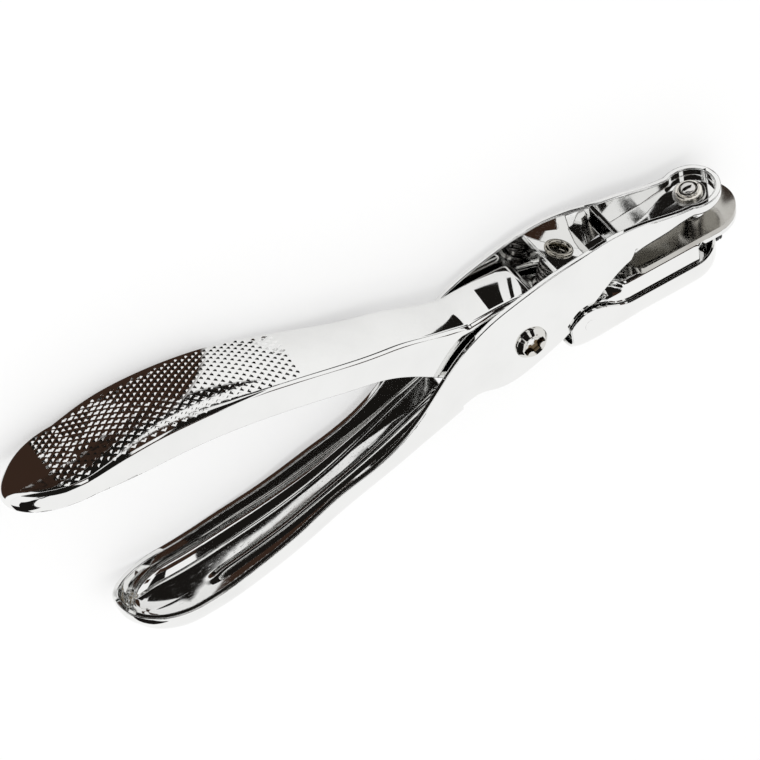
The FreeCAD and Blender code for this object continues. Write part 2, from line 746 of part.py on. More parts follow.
def die_rivet(index, place):
    """Flush-topped rivet: shank through plate and web, head under the web."""
    x, z = place
    body = new_body("die_rivet_%s" % ("rear", "front")[index])
    top_offset = "-sizes.die_seat - sizes.die_thickness"
    shank = round_sketch(body, "XZ_Plane", "shank", [(x, z)], "sizes.rivet_radius", top_offset)
    pad(body, "shank_pad", shank, "sizes.die_thickness + sizes.sheet_wall")
    head = round_sketch(body, "XZ_Plane", "head", [(x, z)], "1.6 * sizes.rivet_radius",
                        "-sizes.die_seat + sizes.sheet_wall")
    pad(body, "head_pad", head, "sizes.rivet_head_height")
    return body


# --------------------------------------------------------------------- pivot
def turned(label, profile):
    """A body of revolution about its own Z axis, from points (radius, height)."""
    body = new_body(label)
    sketch = new_sketch(body, "XZ_Plane", "profile", polygon(profile))
    feature = body.newObject("PartDesign::Revolution", "turned")
    feature.Profile = sketch
    feature.ReferenceAxis = (sketch, ["V_Axis"])
    feature.Angle = 360
    return body


def pivot_screw():
    """Pivot screw with a domed, cross-recessed head, turned about the pivot axis."""
    shank = size("screw_radius")
    head = size("screw_head_radius")
    height = size("screw_head_height")
    tip = -(size("body_width") - 2 * WALL)
    profile = [(0, tip), (shank - 0.3, tip), (shank, tip + 0.3), (shank, 0), (head, 0),
               (head, 0.55 * height), (head - 0.25, 0.85 * height), (head - 0.7, height), (0, height)]
    body = turned("pivot_screw", profile)
    body.setExpression("Placement.Base.z", "sizes.handle_width / 2 + sizes.body_width / 2")
    arm = size("recess_radius")
    half = 0.2 * arm
    cross = [(arm, -half), (arm, half), (half, half), (half, arm), (-half, arm), (-half, half),
             (-arm, half), (-arm, -half), (-half, -half), (-half, -arm), (half, -arm), (half, -half)]
    sketch = new_sketch(body, "XY_Plane", "recess", polygon(cross), "sizes.screw_head_height")
    recess = body.newObject("PartDesign::Pocket", "recess_cut")
    recess.Profile = sketch
    recess.setExpression("Length", "sizes.recess_depth")
    return body


def pivot_nut():
    """Barrel nut: the barrel carries both levers, its head is what the tool rests on."""
    head = size("screw_head_radius")
    head_height = MIDDLE - LOWER_HALF
    barrel = size("barrel_radius")
    top = MIDDLE + LOWER_HALF - 0.2
    bore = size("screw_radius") + size("thread_gap")
    floor = head_height + 0.8
    profile = [(0, 0), (head - 0.4, 0), (head, 0.4), (head, head_height), (barrel, head_height),
               (barrel, top), (bore, top), (bore, floor), (0, floor)]
    return turned("pivot_nut", profile)


def ring(label, outer, inner, height, base):
    """A plain ring about the pivot axis; all four are expressions."""
    body = new_body(label)
    disc = round_sketch(body, "XY_Plane", "disc", [(0, 0)], outer)
    pad(body, "disc_pad", disc, height)
    hole = round_sketch(body, "XY_Plane", "hole", [(0, 0)], inner)
    pocket_through(body, "hole_cut", hole)
    body.setExpression("Placement.Base.z", base)
    return body


def pivot_rings():
    """The bush pressed into the upper lever, and a washer on each side of it."""
    bore = "sizes.barrel_radius + sizes.barrel_fit"
    half = "(sizes.body_width / 2 - sizes.sheet_wall - sizes.side_gap)"
    middle = "sizes.handle_width / 2"
    slack = "(sizes.side_gap - sizes.washer_thickness) / 2"
    bush = "sizes.barrel_radius + sizes.bush_wall"
    return [
        ring("pivot_bush", bush, bore, "2 * " + half, middle + " - " + half),
        ring("washer_screw_side", "sizes.washer_radius", bore, "sizes.washer_thickness",
             middle + " + " + half + " + " + slack),
        ring("washer_nut_side", "sizes.washer_radius", bore, "sizes.washer_thickness",
             middle + " - " + half + " - " + slack + " - sizes.washer_thickness"),
    ]


# --------------------------------------------------------------------- punch
def punch_parts():
    """Punch with its riveted neck, the washer and the collar over the jaw's floor."""
    shoulder, washer, collar, top = punch_heights()
    radius = size("punch_radius")
    neck = NECK_SHARE * radius
    bore = neck + size("thread_gap")
    pin = turned("punch_pin", [(0, 0.35), (radius - 0.35, 0.25), (radius, 0), (radius, shoulder),
                               (neck, shoulder), (neck, top), (neck - 0.3, top + 0.25), (0, top + 0.4)])
    wide = size("punch_washer_radius")
    thick = size("punch_washer_height")
    disc = turned("punch_washer", [(bore, 0), (wide, 0), (wide, thick), (bore, thick)])
    head = size("punch_head_radius")
    height = size("punch_head_height")
    cap = turned("punch_collar", [(bore, 0), (head, 0), (head, 0.55 * height), (head - 0.35, height),
                                  (bore, height)])
    for body, place in ((pin, 0.0), (disc, washer), (cap, collar)):
        body.Placement = along_axis(punch_point(place), punch_axis())
    return [pin, disc, cap]


# ------------------------------------------------------------- return spring
def seat_direction():
    """Along the upper lever's spring seat, and its upward normal."""
    run = Vector(*SEAT_FRONT, 0) - Vector(*SEAT_REAR, 0)
    run.normalize()
    return run, Vector(-run.y, run.x, 0)


def spring_foot():
    """Where the spring's axis meets the upper lever's seat."""
    start = bridge_point(BRIDGE_EYE, -WALL)
    run, normal = seat_direction()
    rear = Vector(*SEAT_REAR, MIDDLE)
    axis = bridge_normal()
    distance = (start - rear).dot(normal) / axis.dot(normal)
    return start - axis * distance, distance


SEAT_FLANGE = 0.4        # thickness of the spring seat's flange
SPRING_SLACK = 0.12      # between each end of the spring and its seat


def return_spring():
    """Coil spring that opens the levers, on the bridge's own slope."""
    foot, distance = spring_foot()
    wire = size("wire_radius")
    lift = SEAT_FLANGE + SPRING_SLACK + wire + 0.05
    length = distance - lift - SPRING_SLACK - wire
    helix = DOC.addObject("Part::Helix", "spring_path")
    helix.setExpression("Radius", "sizes.coil_radius")
    helix.Height = length
    helix.Pitch = length / size("coil_count")
    section = DOC.addObject("Part::Circle", "spring_wire")
    section.setExpression("Radius", "sizes.wire_radius")
    section.Placement = Placement(Vector(size("coil_radius"), 0, 0), Rotation(Vector(1, 0, 0), 90))
    DOC.recompute()
    coil = DOC.addObject("Part::Sweep", "return_spring")
    coil.Label = "return_spring"
    coil.Sections = [section]
    coil.Spine = (helix, ["Edge1"])
    coil.Solid = True
    coil.Frenet = True
    coil.Placement = along_axis(foot + bridge_normal() * lift, bridge_normal())
    return coil


def spring_eyelet():
    """Flanged eyelet in the bridge; its barrel reaches down inside the spring."""
    outer = size("eyelet_radius")
    inner = outer - size("eyelet_wall")
    flange = size("eyelet_flange")
    low = -WALL - 1.0
    body = turned("spring_eyelet", [(inner, low), (outer, low), (outer, 0), (flange, 0), (flange, 0.25),
                                    (flange - 0.3, 0.5), (inner + 0.3, 0.5), (inner, 0.2)])
    body.Placement = along_axis(bridge_point(BRIDGE_EYE, 0), bridge_normal())
    return body


def spring_seat():
    """Flanged stud on the upper lever's web that keeps the spring's foot in place."""
    boss = size("coil_radius") - size("wire_radius") - 0.45
    flange = size("coil_radius") + size("wire_radius") + 0.1
    body = turned("spring_seat", [(0, 0), (flange, 0), (flange, SEAT_FLANGE), (boss, SEAT_FLANGE),
                                  (boss, 1.3), (boss - 0.4, 1.7), (0, 1.7)])
    foot, _ = spring_foot()
    body.Placement = along_axis(foot, seat_direction()[1])
    return body


# ----------------------------------------------------------------- chip tray
TRAY_CHANNEL = [
    (8.6, -2.9, -8.9, 3.9), (10.0, -1.7, -10.0, 4.6), (11.6, -0.6, -10.5, 4.8), (13.6, 0.2, -10.6, 4.8),
    (15.8, 0.0, -10.6, 4.8), (18.2, -1.3, -10.4, 4.8), (20.8, -2.7, -10.3, 4.8), (24.0, -3.1, -10.1, 4.8),
    (31.0, -3.1, -9.9, 4.6), (37.9, -3.1, -9.7, 4.4),
]


def tray_stations():
    return [(ahead(x), TRAY_HALF, edge, web, corner, 0.2) for x, edge, web, corner in TRAY_CHANNEL]


TRAY_REACH = 8.0         # length of the tray's rounded front


def chip_tray():
    """Pressed tray round the lower jaw, with two ears for its hinge rivets."""
    shell = channel_shell("tray_shell", tray_stations(), size("tray_wall"), TRAY_REACH,
                          edge_rise=0.6, fall=0.06)
    holes = [
        cylinder("tray_ear_holes", "sizes.tray_pin_radius + sizes.barrel_fit", "sizes.handle_width",
                 Placement(Vector(size("tray_pin_x"), -size("tray_pin_drop"), 0), Rotation())),
        cylinder("knob_stud_hole", "sizes.stud_radius + sizes.thread_gap", "4",
                 along_axis(knob_seat(-2.0), Vector(1, 0, 0))),
    ]
    return boolean("Part::Cut", "chip_tray", shell, holes)


def knob_seat(out=0.0):
    """Middle of the flat at the tray's front, or a point this far out from it."""
    front = tray_stations()[-1][0] + TRAY_REACH * math.sin(LAST_ANGLE)
    return Vector(front + out, -size("knob_drop"), MIDDLE)


def tray_fixings():
    """Hinge rivets of the tray, and the collars that keep its ears off the jaw."""
    pieces = []
    slack = 0.1
    radius = size("tray_pin_radius")
    outer = size("tray_collar_radius")
    bore = radius + size("thread_gap")
    jaw_side = between(waist_points(0), size("tray_pin_x") - outer) + slack
    head_side = between(waist_points(WALL), size("tray_pin_x")) - 0.4 - slack
    reach = TRAY_HALF - head_side + 0.08
    collar_length = TRAY_HALF - size("tray_wall") - slack - jaw_side
    for side, sign in (("screw_side", 1), ("nut_side", -1)):
        rivet = turned("tray_rivet_" + side, [
            (0, 0), (1.5 * radius, 0), (1.5 * radius, 0.3), (radius, 0.3), (radius, reach),
            (1.55 * radius, reach), (1.35 * radius, reach + 0.32), (0, reach + 0.42)])
        collar = turned("tray_collar_" + side, [
            (bore, 0), (outer, 0), (outer, collar_length), (bore, collar_length)])
        for piece, out in ((rivet, head_side), (collar, jaw_side)):
            place = Vector(size("tray_pin_x"), -size("tray_pin_drop"), MIDDLE + sign * out)
            piece.Placement = along_axis(place, Vector(0, 0, sign))
            pieces.append(piece)
    return pieces


def tray_knob():
    """Ribbed black knob at the tray's front, and the stud that holds it."""
    radius = size("knob_radius")
    length = size("knob_length")
    bore = size("stud_radius") + size("thread_gap")
    groove = radius - 0.22
    band = length / 5
    profile = [(bore, 0), (radius, 0), (radius, band), (groove, 1.2 * band), (groove, 1.8 * band),
               (radius, 2 * band), (radius, 3 * band), (groove, 3.2 * band), (groove, 3.8 * band),
               (radius, 4 * band), (radius - 0.3, length), (bore, length)]
    knob = turned("tray_knob", profile)
    pin = size("stud_radius")
    head = 1.4 * pin
    under = -size("tray_wall") - 0.05
    stud = turned("knob_stud", [(0, under - 0.4), (head, under - 0.4), (head, under), (pin, under),
                                (pin, length + 0.2), (0, length + 0.2)])
    for piece in (knob, stud):
        piece.Placement = along_axis(knob_seat(), Vector(1, 0, 0))
    return [knob, stud]


# ------------------------------------------------------------ build and write
def build():
    pieces = [lower_lever(), upper_lever(), die_plate()]
    pieces += [die_rivet(index, place) for index, place in enumerate(rivet_places())]
    pieces += [pivot_screw(), pivot_nut()] + pivot_rings()
    pieces += punch_parts()
    pieces += [return_spring(), spring_eyelet(), spring_seat()]
    pieces += [chip_tray()] + tray_fixings() + tray_knob()
    return pieces


def check(pieces):
    """Stop on a failed object or a shape that isn't one valid solid."""
    for item in DOC.Objects:
        if "Invalid" in item.State or "Error" in item.State:
            raise RuntimeError("%s failed: %s" % (item.Label, item.State))
    for piece in pieces:
        shape = piece.Shape
        if shape.isNull() or not shape.isValid() or len(shape.Solids) != 1:
            raise RuntimeError("%s isn't one valid solid (%d)" % (piece.Label, len(shape.Solids)))


def write(pieces):
    os.makedirs("parts", exist_ok=True)
    for piece in pieces:
        piece.Shape.exportStep("parts/%s.step" % piece.Label)
        box = piece.Shape.BoundBox
        print("%-24s x %7.2f %7.2f  y %7.2f %7.2f  z %6.2f %6.2f  volume %8.2f" % (
            piece.Label, box.XMin, box.XMax, box.YMin, box.YMax, box.ZMin, box.ZMax, piece.Shape.Volume))


PIECES = build()
DOC.recompute()
check(PIECES)
write(PIECES)
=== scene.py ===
# %% [markdown]
# # A hand-held paper punch
# This lesson dresses a finished CAD model of a plier-type paper punch: two pressed-steel levers that cross
# on one pivot, a round punch over a die plate, and a small tray for the chips. The CAD model gives every
# size and every moving body. Blender's work is the look: smooth pressed sheet, bright plating, and light.

# %% Load the fixed frame
import math

import bmesh
import bpy
import numpy as np
from mathutils import Matrix, Vector


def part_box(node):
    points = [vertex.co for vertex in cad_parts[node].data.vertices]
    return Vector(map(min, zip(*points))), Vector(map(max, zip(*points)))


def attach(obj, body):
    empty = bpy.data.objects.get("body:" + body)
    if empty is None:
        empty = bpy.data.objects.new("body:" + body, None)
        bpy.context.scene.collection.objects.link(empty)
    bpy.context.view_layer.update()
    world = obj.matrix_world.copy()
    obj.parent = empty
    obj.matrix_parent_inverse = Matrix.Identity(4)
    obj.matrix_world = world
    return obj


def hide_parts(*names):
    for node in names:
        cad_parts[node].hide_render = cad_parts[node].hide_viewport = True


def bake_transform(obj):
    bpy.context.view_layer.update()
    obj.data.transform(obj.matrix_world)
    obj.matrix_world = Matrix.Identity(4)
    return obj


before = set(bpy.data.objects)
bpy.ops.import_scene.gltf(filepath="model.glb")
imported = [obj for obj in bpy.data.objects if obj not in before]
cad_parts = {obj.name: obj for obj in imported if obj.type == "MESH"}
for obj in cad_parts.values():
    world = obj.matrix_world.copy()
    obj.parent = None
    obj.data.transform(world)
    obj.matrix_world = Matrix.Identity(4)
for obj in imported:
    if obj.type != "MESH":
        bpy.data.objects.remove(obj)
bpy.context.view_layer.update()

# %% [markdown]
# All the tables below are in millimetres, as on a workshop drawing, and Blender works in metres, so each
# mesh is scaled once when it is made. The punch lies on its side: X runs to the jaws, Y from the lower
# handle to the upper one, and Z along the pivot. Everything is symmetric about one middle plane.

# %% Shared sizes
MM = 0.001                   # metres in one millimetre
MIDDLE = 9.0                 # height of the middle plane over the floor
SHEET = 1.2                  # thickness of the levers
BODY_HALF = 7.25             # half width over the lower lever's walls
JAW_HALF = 5.35              # half width of the upper jaw
PIVOT_HALF = 5.4             # half width of the upper lever between those walls
PUNCH_X = 42.6               # reach of the punch from the pivot
JAW_TIP = 51.25              # front end of the lower jaw
DIE_SEAT = 1.8               # height of the lower jaw's seat over the pivot's axis
DIE_THICK = 1.3
CLOSING = math.radians(3.3)  # turn that closes the jaws
print("punch stroke at the die, mm:", round(PUNCH_X * math.sin(CLOSING), 2))

# %% [markdown]
# ## Curves
# A pressing has no corners along its length, and bright plating shows every kink in a reflection. A
# polyline would be simplest, and a Bezier curve is easy to draw by hand, but here the stations are
# numbers, so a natural cubic spline is the best choice: it passes through each one and bends evenly.


# %% A spline through the stations of a table
def spline(points):
    """A function y(x) that passes smoothly through a row of points."""
    xs, ys = np.array(sorted(points), float).T
    count = len(xs)
    steps = np.diff(xs)
    system = np.eye(count)
    right = np.zeros(count)
    for i in range(1, count - 1):
        system[i, i - 1:i + 2] = steps[i - 1], 2 * (steps[i - 1] + steps[i]), steps[i]
        right[i] = 6 * ((ys[i + 1] - ys[i]) / steps[i] - (ys[i] - ys[i - 1]) / steps[i - 1])
    bends = np.linalg.solve(system, right)

    def height(x):
        x = min(max(x, xs[0]), xs[-1])
        i = min(max(int(np.searchsorted(xs, x)) - 1, 0), count - 2)
        step, before, after = steps[i], x - xs[i], xs[i + 1] - x
        bend = (bends[i] * after ** 3 + bends[i + 1] * before ** 3) / (6 * step)
        low = (ys[i] / step - bends[i] * step / 6) * after
        return float(bend + low + (ys[i + 1] / step - bends[i + 1] * step / 6) * before)

    return height


def spaced(start, end, step):
    """Evenly spaced places from start to end, both included."""
    count = max(1, round(abs(end - start) / step))
    return [start + (end - start) * k / count for k in range(count + 1)]


print("a test curve through (0, 0), (1, 1), (2, 0), at 0.5:", spline([(0, 0), (1, 1), (2, 0)])(0.5))

# %% [markdown]
# ## Sheet sections
# Both levers and the tray are channels pressed from flat sheet. Across, each is a U: a wall from its open
# edge, a bend, and a web that bulges a little. Only half of the U is written down, because the other half
# is its mirror image. The bend ends at the slope of the bulge, so reflections flow across it.

# %% Half of a pressed U section
WALL_STEPS = 16
BEND_STEPS = 8
WEB_STEPS = 22
COLUMNS = WALL_STEPS + BEND_STEPS + WEB_STEPS + 1


def bead(across, half_width):
    """A rounded bead, 1 at its middle and 0 at its edges."""
    if abs(across) >= half_width:
        return 0.0
    return 0.5 + 0.5 * math.cos(math.pi * across / half_width)


def section(half, edge, web, bend, crown, rib=0.0, rib_half=1.6):
    """Half a U section: (distance in from the wall, height), from its open edge to the middle."""
    toward = 1 if edge > web else -1
    crown = max(crown, 0.02)
    lean = 2 * math.atan(crown / (half - bend))
    middle = web - toward * crown
    flat = half - bend * (1 - math.sin(lean))
    swell = flat / math.sin(lean)
    sag = swell - math.sqrt(swell ** 2 - flat ** 2)
    wall_end = middle + toward * (bend * math.cos(lean) + sag)
    points = [(0.0, edge + (wall_end - edge) * k / WALL_STEPS) for k in range(WALL_STEPS)]
    for k in range(BEND_STEPS):
        turn = (math.pi / 2 - lean) * k / BEND_STEPS
        points.append((bend * (1 - math.cos(turn)), wall_end - toward * bend * math.sin(turn)))
    for k in range(WEB_STEPS + 1):
        across = flat * (1 - k / WEB_STEPS)
        rise = swell - math.sqrt(swell ** 2 - across ** 2)
        points.append((half - across, middle + toward * (rise + rib * bead(across, rib_half))))
    return points


print("points in half a section:", len(section(7, 10, 0, 2, 0.1)), "columns:", COLUMNS)

# %% [markdown]
# ## Rows of a sheet
# A sheet is a grid of points: rows follow one another along the tool, and columns run from the open edge
# round the bend to the middle. At a rounded end the rows fan out from one centre, like the ribs of a
# spoon, so the rim goes round the end in one clean line. A pole in the flat floor doesn't show.


# %% Straight rows and fans
def straight_row(x, half, profile):
    return [(x, y, half - inset) for inset, y in profile]


def leaning_row(x, half, profile, centre):
    """A row whose middle is drawn forward to a centre, on the way into a fan."""
    return [(x + (centre - x) * inset / half, y, half - inset) for inset, y in profile]


def fan(centre, half, reach, profile, rise=0.0, roundness=0.0, power=0.7, count=22, start=0.0):
    """Rows round an end: from beside the centre to the tip, which lies reach away from it."""
    edge, middle = profile[0][1], profile[-1][1]
    rows = []
    for k in range(count + 1):
        turn = start + (math.pi / 2 - start) * k / count
        along, out = reach * math.sin(turn), half * max(math.cos(turn), 0.0)
        rim = edge + rise * (1 - math.cos(turn))
        share = roundness * math.sin(turn) ** 2
        row = []
        for j, (inset, y) in enumerate(profile):
            sweep = math.pi / 2 * j / (len(profile) - 1)
            bowl_inset = 1 - math.cos(sweep)
            bowl_y = rim + (middle - rim) * math.sin(sweep) ** power
            wall_y = middle + (y - middle) * (rim - middle) / (edge - middle)
            drawn = (1 - share) * inset / half + share * bowl_inset
            row.append((centre + along * (1 - drawn), (1 - share) * wall_y + share * bowl_y,
                        out * (1 - drawn)))
        rows.append(row)
    return rows


test_profile = section(7, 10, 0, 2, 0.1)
print("rows in a fan:", len(fan(0, 7, 10, test_profile)))

# %% [markdown]
# A row of points is turned into faces twice, once on each side of the middle plane. Merging the doubled
# points closes the middle line and the poles. The one thing that Blender can't know is which side of an
# open sheet is outside, so each sheet says where one of its faces has to look.


# %% From rows to a mesh
def points_and_faces(mesh):
    """Empties a working mesh into plain lists."""
    mesh.verts.index_update()
    points = [tuple(vert.co) for vert in mesh.verts]
    faces = [[vert.index for vert in face.verts] for face in mesh.faces]
    mesh.free()
    return points, faces


def sheet_faces(rows, keep=None, outward=(0, 0, 1)):
    """Points and faces, in metres, of one sheet and its mirror image, facing outward."""
    mesh = bmesh.new()
    for side in (1, -1):
        grid = [[mesh.verts.new((x * MM, y * MM, (MIDDLE + side * out) * MM)) for x, y, out in row]
                for row in rows]
        for i in range(len(rows) - 1):
            for j in range(len(rows[i]) - 1):
                if keep is None or keep(rows[i], rows[i + 1], j):
                    corners = [grid[i][j], grid[i + 1][j], grid[i + 1][j + 1], grid[i][j + 1]]
                    mesh.faces.new(corners[::side])
    bmesh.ops.remove_doubles(mesh, verts=mesh.verts, dist=2e-6)
    bmesh.ops.dissolve_degenerate(mesh, edges=mesh.edges, dist=1e-7)
    loose = [vert for vert in mesh.verts if not vert.link_faces]
    bmesh.ops.delete(mesh, geom=loose, context="VERTS")
    mesh.normal_update()
    aim = Vector(outward)
    upper = [face for face in mesh.faces if face.calc_center_median().z >= MIDDLE * MM]
    best = max(upper, key=lambda face: abs(face.normal.dot(aim)))
    if best.normal.dot(aim) < 0:
        bmesh.ops.reverse_faces(mesh, faces=mesh.faces)
    return points_and_faces(mesh)


def piece_from(name, *parts):
    """One object, at the origin, from the points and faces of its parts."""
    points, faces = [], []
    for more_points, more_faces in parts:
        faces += [[index + len(points) for index in face] for face in more_faces]
        points += more_points
    data = bpy.data.meshes.new(name)
    data.from_pydata(points, [], faces)
    data.validate()
    data.shade_smooth()
    piece = bpy.data.objects.new(name, data)
    bpy.context.scene.collection.objects.link(piece)
    return piece


test_sheet = sheet_faces([straight_row(x, 7, test_profile) for x in (0, 1)])
print("points and faces of a sheet of two rows:", [len(part) for part in test_sheet])

# %% [markdown]
# ## Thickness and edges
# Solidify gives a sheet its thickness, towards the inside only, so the outside stays where the drawing
# says. Bevel then rounds the cut edges. A sheared edge is never knife sharp, and it is this narrow
# rounding that draws a fine dark or bright line along every rim.
#
# A Bevel can find its edges by angle, which is enough for turned pieces. On a pressed sheet an angle would
# also catch the tightest bends and leave spikes where the jaw narrows. So the thickness is made real first.
# Solidify writes the two skins before the rim, which tells us the edges between skin and rim. They get a
# bevel weight, and only they are rounded.


# %% Finishing modifiers
def thicken(piece, thickness, inside_offset=0):
    wall = piece.modifiers.new("sheet thickness", "SOLIDIFY")
    wall.thickness = thickness * MM
    wall.offset = -1
    wall.use_even_offset = True
    wall.use_quality_normals = True
    wall.material_offset = inside_offset
    wall.material_offset_rim = 0


def round_edges(piece, width, segments=2, angle=38.0):
    edge = piece.modifiers.new("rounded edges", "BEVEL")
    edge.width = width * MM
    edge.segments = segments
    edge.limit_method = "ANGLE"
    edge.angle_limit = math.radians(angle)
    edge.harden_normals = True


def settle(piece):
    """Makes a piece's modifiers real, so that its mesh is final."""
    graph = bpy.context.evaluated_depsgraph_get()
    final = bpy.data.meshes.new_from_object(piece.evaluated_get(graph))
    piece.modifiers.clear()
    piece.data = final
    final.name = piece.name


def round_rims(piece, width, segments=3):
    """Makes the thickness real, then rounds only the cut edges: the ones between rim and skin."""
    skin = 2 * len(piece.data.polygons)
    settle(piece)
    faces = piece.data.polygons
    skin_edges = {key for face in faces[:skin] for key in face.edge_keys}
    rim_edges = {key for face in faces[skin:] for key in face.edge_keys}
    weights = piece.data.attributes.new("bevel_weight_edge", "FLOAT", "EDGE")
    for edge in piece.data.edges:
        weights.data[edge.index].value = float(edge.key in skin_edges and edge.key in rim_edges)
    rim = piece.modifiers.new("rounded rims", "BEVEL")
    rim.width = width * MM
    rim.segments = segments
    rim.limit_method = "WEIGHT"
    rim.use_clamp_overlap = False
    rim.harden_normals = True


def size_of(piece):
    """A piece's box, in millimetres, for the printed notes."""
    graph = bpy.context.evaluated_depsgraph_get()
    corners = np.array([tuple(c) for c in piece.evaluated_get(graph).bound_box]) / MM
    return [round(float(v), 2) for v in (*corners.min(0), *corners.max(0))]


# %% [markdown]
# ## Lower lever
# One pressing makes the lower handle and the upper jaw. The handle is a deep trough that ends in a spoon.
# Over the pivot the web is cut away and only two tall walls are left, which narrow to the jaw, and there a
# floor closes the channel again and ends in a round cup. It could be modelled as a box with many cuts, but
# a sheet that is drawn once and thickened has even walls everywhere, as real pressed steel has.

# %% Tables of the lower lever
# x, half width, open edge, web, bend radius, crown of the web
LOWER_TROUGH = [
    (-16.3, 7.25, 4.6, -9.3, 2.0, 0.1), (-20, 7.25, 1.1, -10.9, 2.4, 0.1),
    (-25, 7.25, -3.9, -12.8, 2.8, 0.1), (-30, 7.25, -7.7, -14.8, 3.2, 0.15),
    (-36, 7.25, -10.6, -17.0, 3.7, 0.2), (-45, 7.29, -12.9, -20.0, 4.2, 0.2),
    (-55, 7.97, -16.0, -23.0, 4.6, 0.3), (-65, 8.65, -18.1, -25.1, 5.0, 0.3),
    (-74, 8.94, -19.6, -26.4, 5.2, 0.28), (-78.5, 8.94, -19.9, -26.58, 5.2, 0.28),
]
LOWER_TIP = -92.2
WELL_REAR = LOWER_TROUGH[0][0]
JAW_RIM = [(-10, 8.9), (-5, 10.9), (0, 12.2), (5, 13.3), (10.1, 14.0), (15.3, 14.1), (20.5, 13.6),
           (25.6, 12.8), (30.7, 11.7), (35.8, 10.3), (40.7, 9.6), (45, 9.7), (50.5, 9.9)]
WALL_LOW = [(-16.3, -7.3), (-12.4, -6.5), (-8.6, -7.7), (-4.5, -8.0), (0, -6.9), (6.1, -4.6),
            (10.1, -2.7), (14.1, -0.1), (20.5, 3.3), (25.6, 5.1), (30.7, 5.7), (35.8, 6.1),
            (40.7, 6.6), (50.5, 7.0)]
FLOOR_REAR = 25.9
CUP_RADIUS = 6.0
CUP_MEET = PUNCH_X - math.sqrt(CUP_RADIUS ** 2 - JAW_HALF ** 2)
JAW_PLAN = [(6, 7.25), (12, 7.1), (15.5, 6.8), (20, 6.02), (29, 5.41), (36, 5.36), (CUP_MEET, JAW_HALF)]
JAW_BEND = 1.3
print("jaw's walls run into the cup at x =", round(CUP_MEET, 2))

# %% Curves of the lower lever
lower_rim = spline([(row[0], row[2]) for row in LOWER_TROUGH] + JAW_RIM)
trough_half, trough_web, trough_bend, trough_crown = (
    spline([(row[0], row[k]) for row in LOWER_TROUGH]) for k in (1, 3, 4, 5))
wall_low = spline(WALL_LOW)
jaw_plan = spline(JAW_PLAN)

RIB_HEIGHT = 0.75
RIB_ENDS = (-72.5, -69.0, -19.0, -17.0)


def rib_at(x):
    """The bead along the trough's floor, which stiffens the handle, and its run-outs."""
    rear, full, front, end = RIB_ENDS
    if x <= rear or x >= end:
        return 0.0
    share = min((x - rear) / (full - rear), (end - x) / (end - front), 1.0)
    return RIB_HEIGHT * share * share * (3 - 2 * share)


def trough_profile(x):
    return section(trough_half(x), lower_rim(x), trough_web(x), trough_bend(x), trough_crown(x), rib_at(x))


def well_row(x):
    """Walls only: the rest of the row waits at the wall's lower edge."""
    half = BODY_HALF if x <= JAW_PLAN[0][0] else jaw_plan(x)
    top, low = lower_rim(x), wall_low(x)
    heights = [top + (low - top) * min(j / WALL_STEPS, 1.0) for j in range(COLUMNS)]
    return [(x, y, half) for y in heights]


print("handle's depth at x = -50, mm:", round(lower_rim(-50) - trough_web(-50), 2))

# %% Rows from the spoon's tip to the cup
ROW_STEP, JAW_STEP = 1.1, 0.9
LEAN_FROM = 34.0
spoon_x, spoon_half = LOWER_TROUGH[-1][:2]
lower_rows = fan(spoon_x, spoon_half, LOWER_TIP - spoon_x, trough_profile(spoon_x), rise=3.2,
                 roundness=0.85)[::-1]
for x in spaced(spoon_x, WELL_REAR, ROW_STEP)[1:]:
    lower_rows.append(straight_row(x, trough_half(x), trough_profile(x)))
for x in spaced(WELL_REAR, FLOOR_REAR, ROW_STEP)[1:-1]:
    lower_rows.append(well_row(x))
for x in spaced(FLOOR_REAR, CUP_MEET, JAW_STEP):
    share = min(max((x - LEAN_FROM) / (CUP_MEET - LEAN_FROM), 0.0), 1.0)
    centre = x + (PUNCH_X - x) * share
    profile = section(jaw_plan(x), lower_rim(x), wall_low(centre), JAW_BEND, 0.0)
    lower_rows.append(leaning_row(x, jaw_plan(x), profile, centre))
cup_start = math.asin((CUP_MEET - PUNCH_X) / CUP_RADIUS)
cup_profile = section(CUP_RADIUS, lower_rim(PUNCH_X), wall_low(PUNCH_X), JAW_BEND, 0.0)
lower_rows += fan(PUNCH_X, CUP_RADIUS, CUP_RADIUS, cup_profile, rise=0.1, start=cup_start, count=30)[1:]
print("lower lever rows:", len(lower_rows), "columns:", COLUMNS)


# %% [markdown]
# The floor of the jaw turns up at its rear into a lip that joins the two walls, and a second band, the
# bridge, joins them above the spring. Both are bands across the tool, so a row of points seen from the
# side is enough for each. The bridge has a round hole for the eyelet, and its grid runs round that hole.

# %% Lip and bridge
LIP = [(22.4, 13.1), (22.4, 12.0), (22.4, 10.8), (22.4, 9.6), (22.4, 8.6), (22.45, 7.8), (22.6, 7.1),
       (22.9, 6.5), (23.4, 5.95), (24.0, 5.6), (24.8, 5.3)]
BRIDGE_REAR = (8.4, 13.5)
BRIDGE_SLOPE = math.radians(22)
BRIDGE_LENGTH = 10.4
BRIDGE_EYE = 4.4
EYE_HOLE = 2.18
BRIDGE_STEP = 0.65
BRIDGE_SIDE = 10
BRIDGE_RINGS = 8


def lip_rows():
    first = next(row for row in lower_rows if abs(row[0][0] - FLOOR_REAR) < 1e-6)
    joint = first[WALL_STEPS + BEND_STEPS:]
    rows = []
    for x, y in LIP:
        reach = jaw_plan(x) - 0.5 * SHEET
        rows.append([(x, y, reach * (1 - k / WEB_STEPS)) for k in range(WEB_STEPS + 1)])
    return rows + [joint]


def bridge_point(along, out):
    x = BRIDGE_REAR[0] + along * math.cos(BRIDGE_SLOPE)
    return (x, BRIDGE_REAR[1] - along * math.sin(BRIDGE_SLOPE), out)


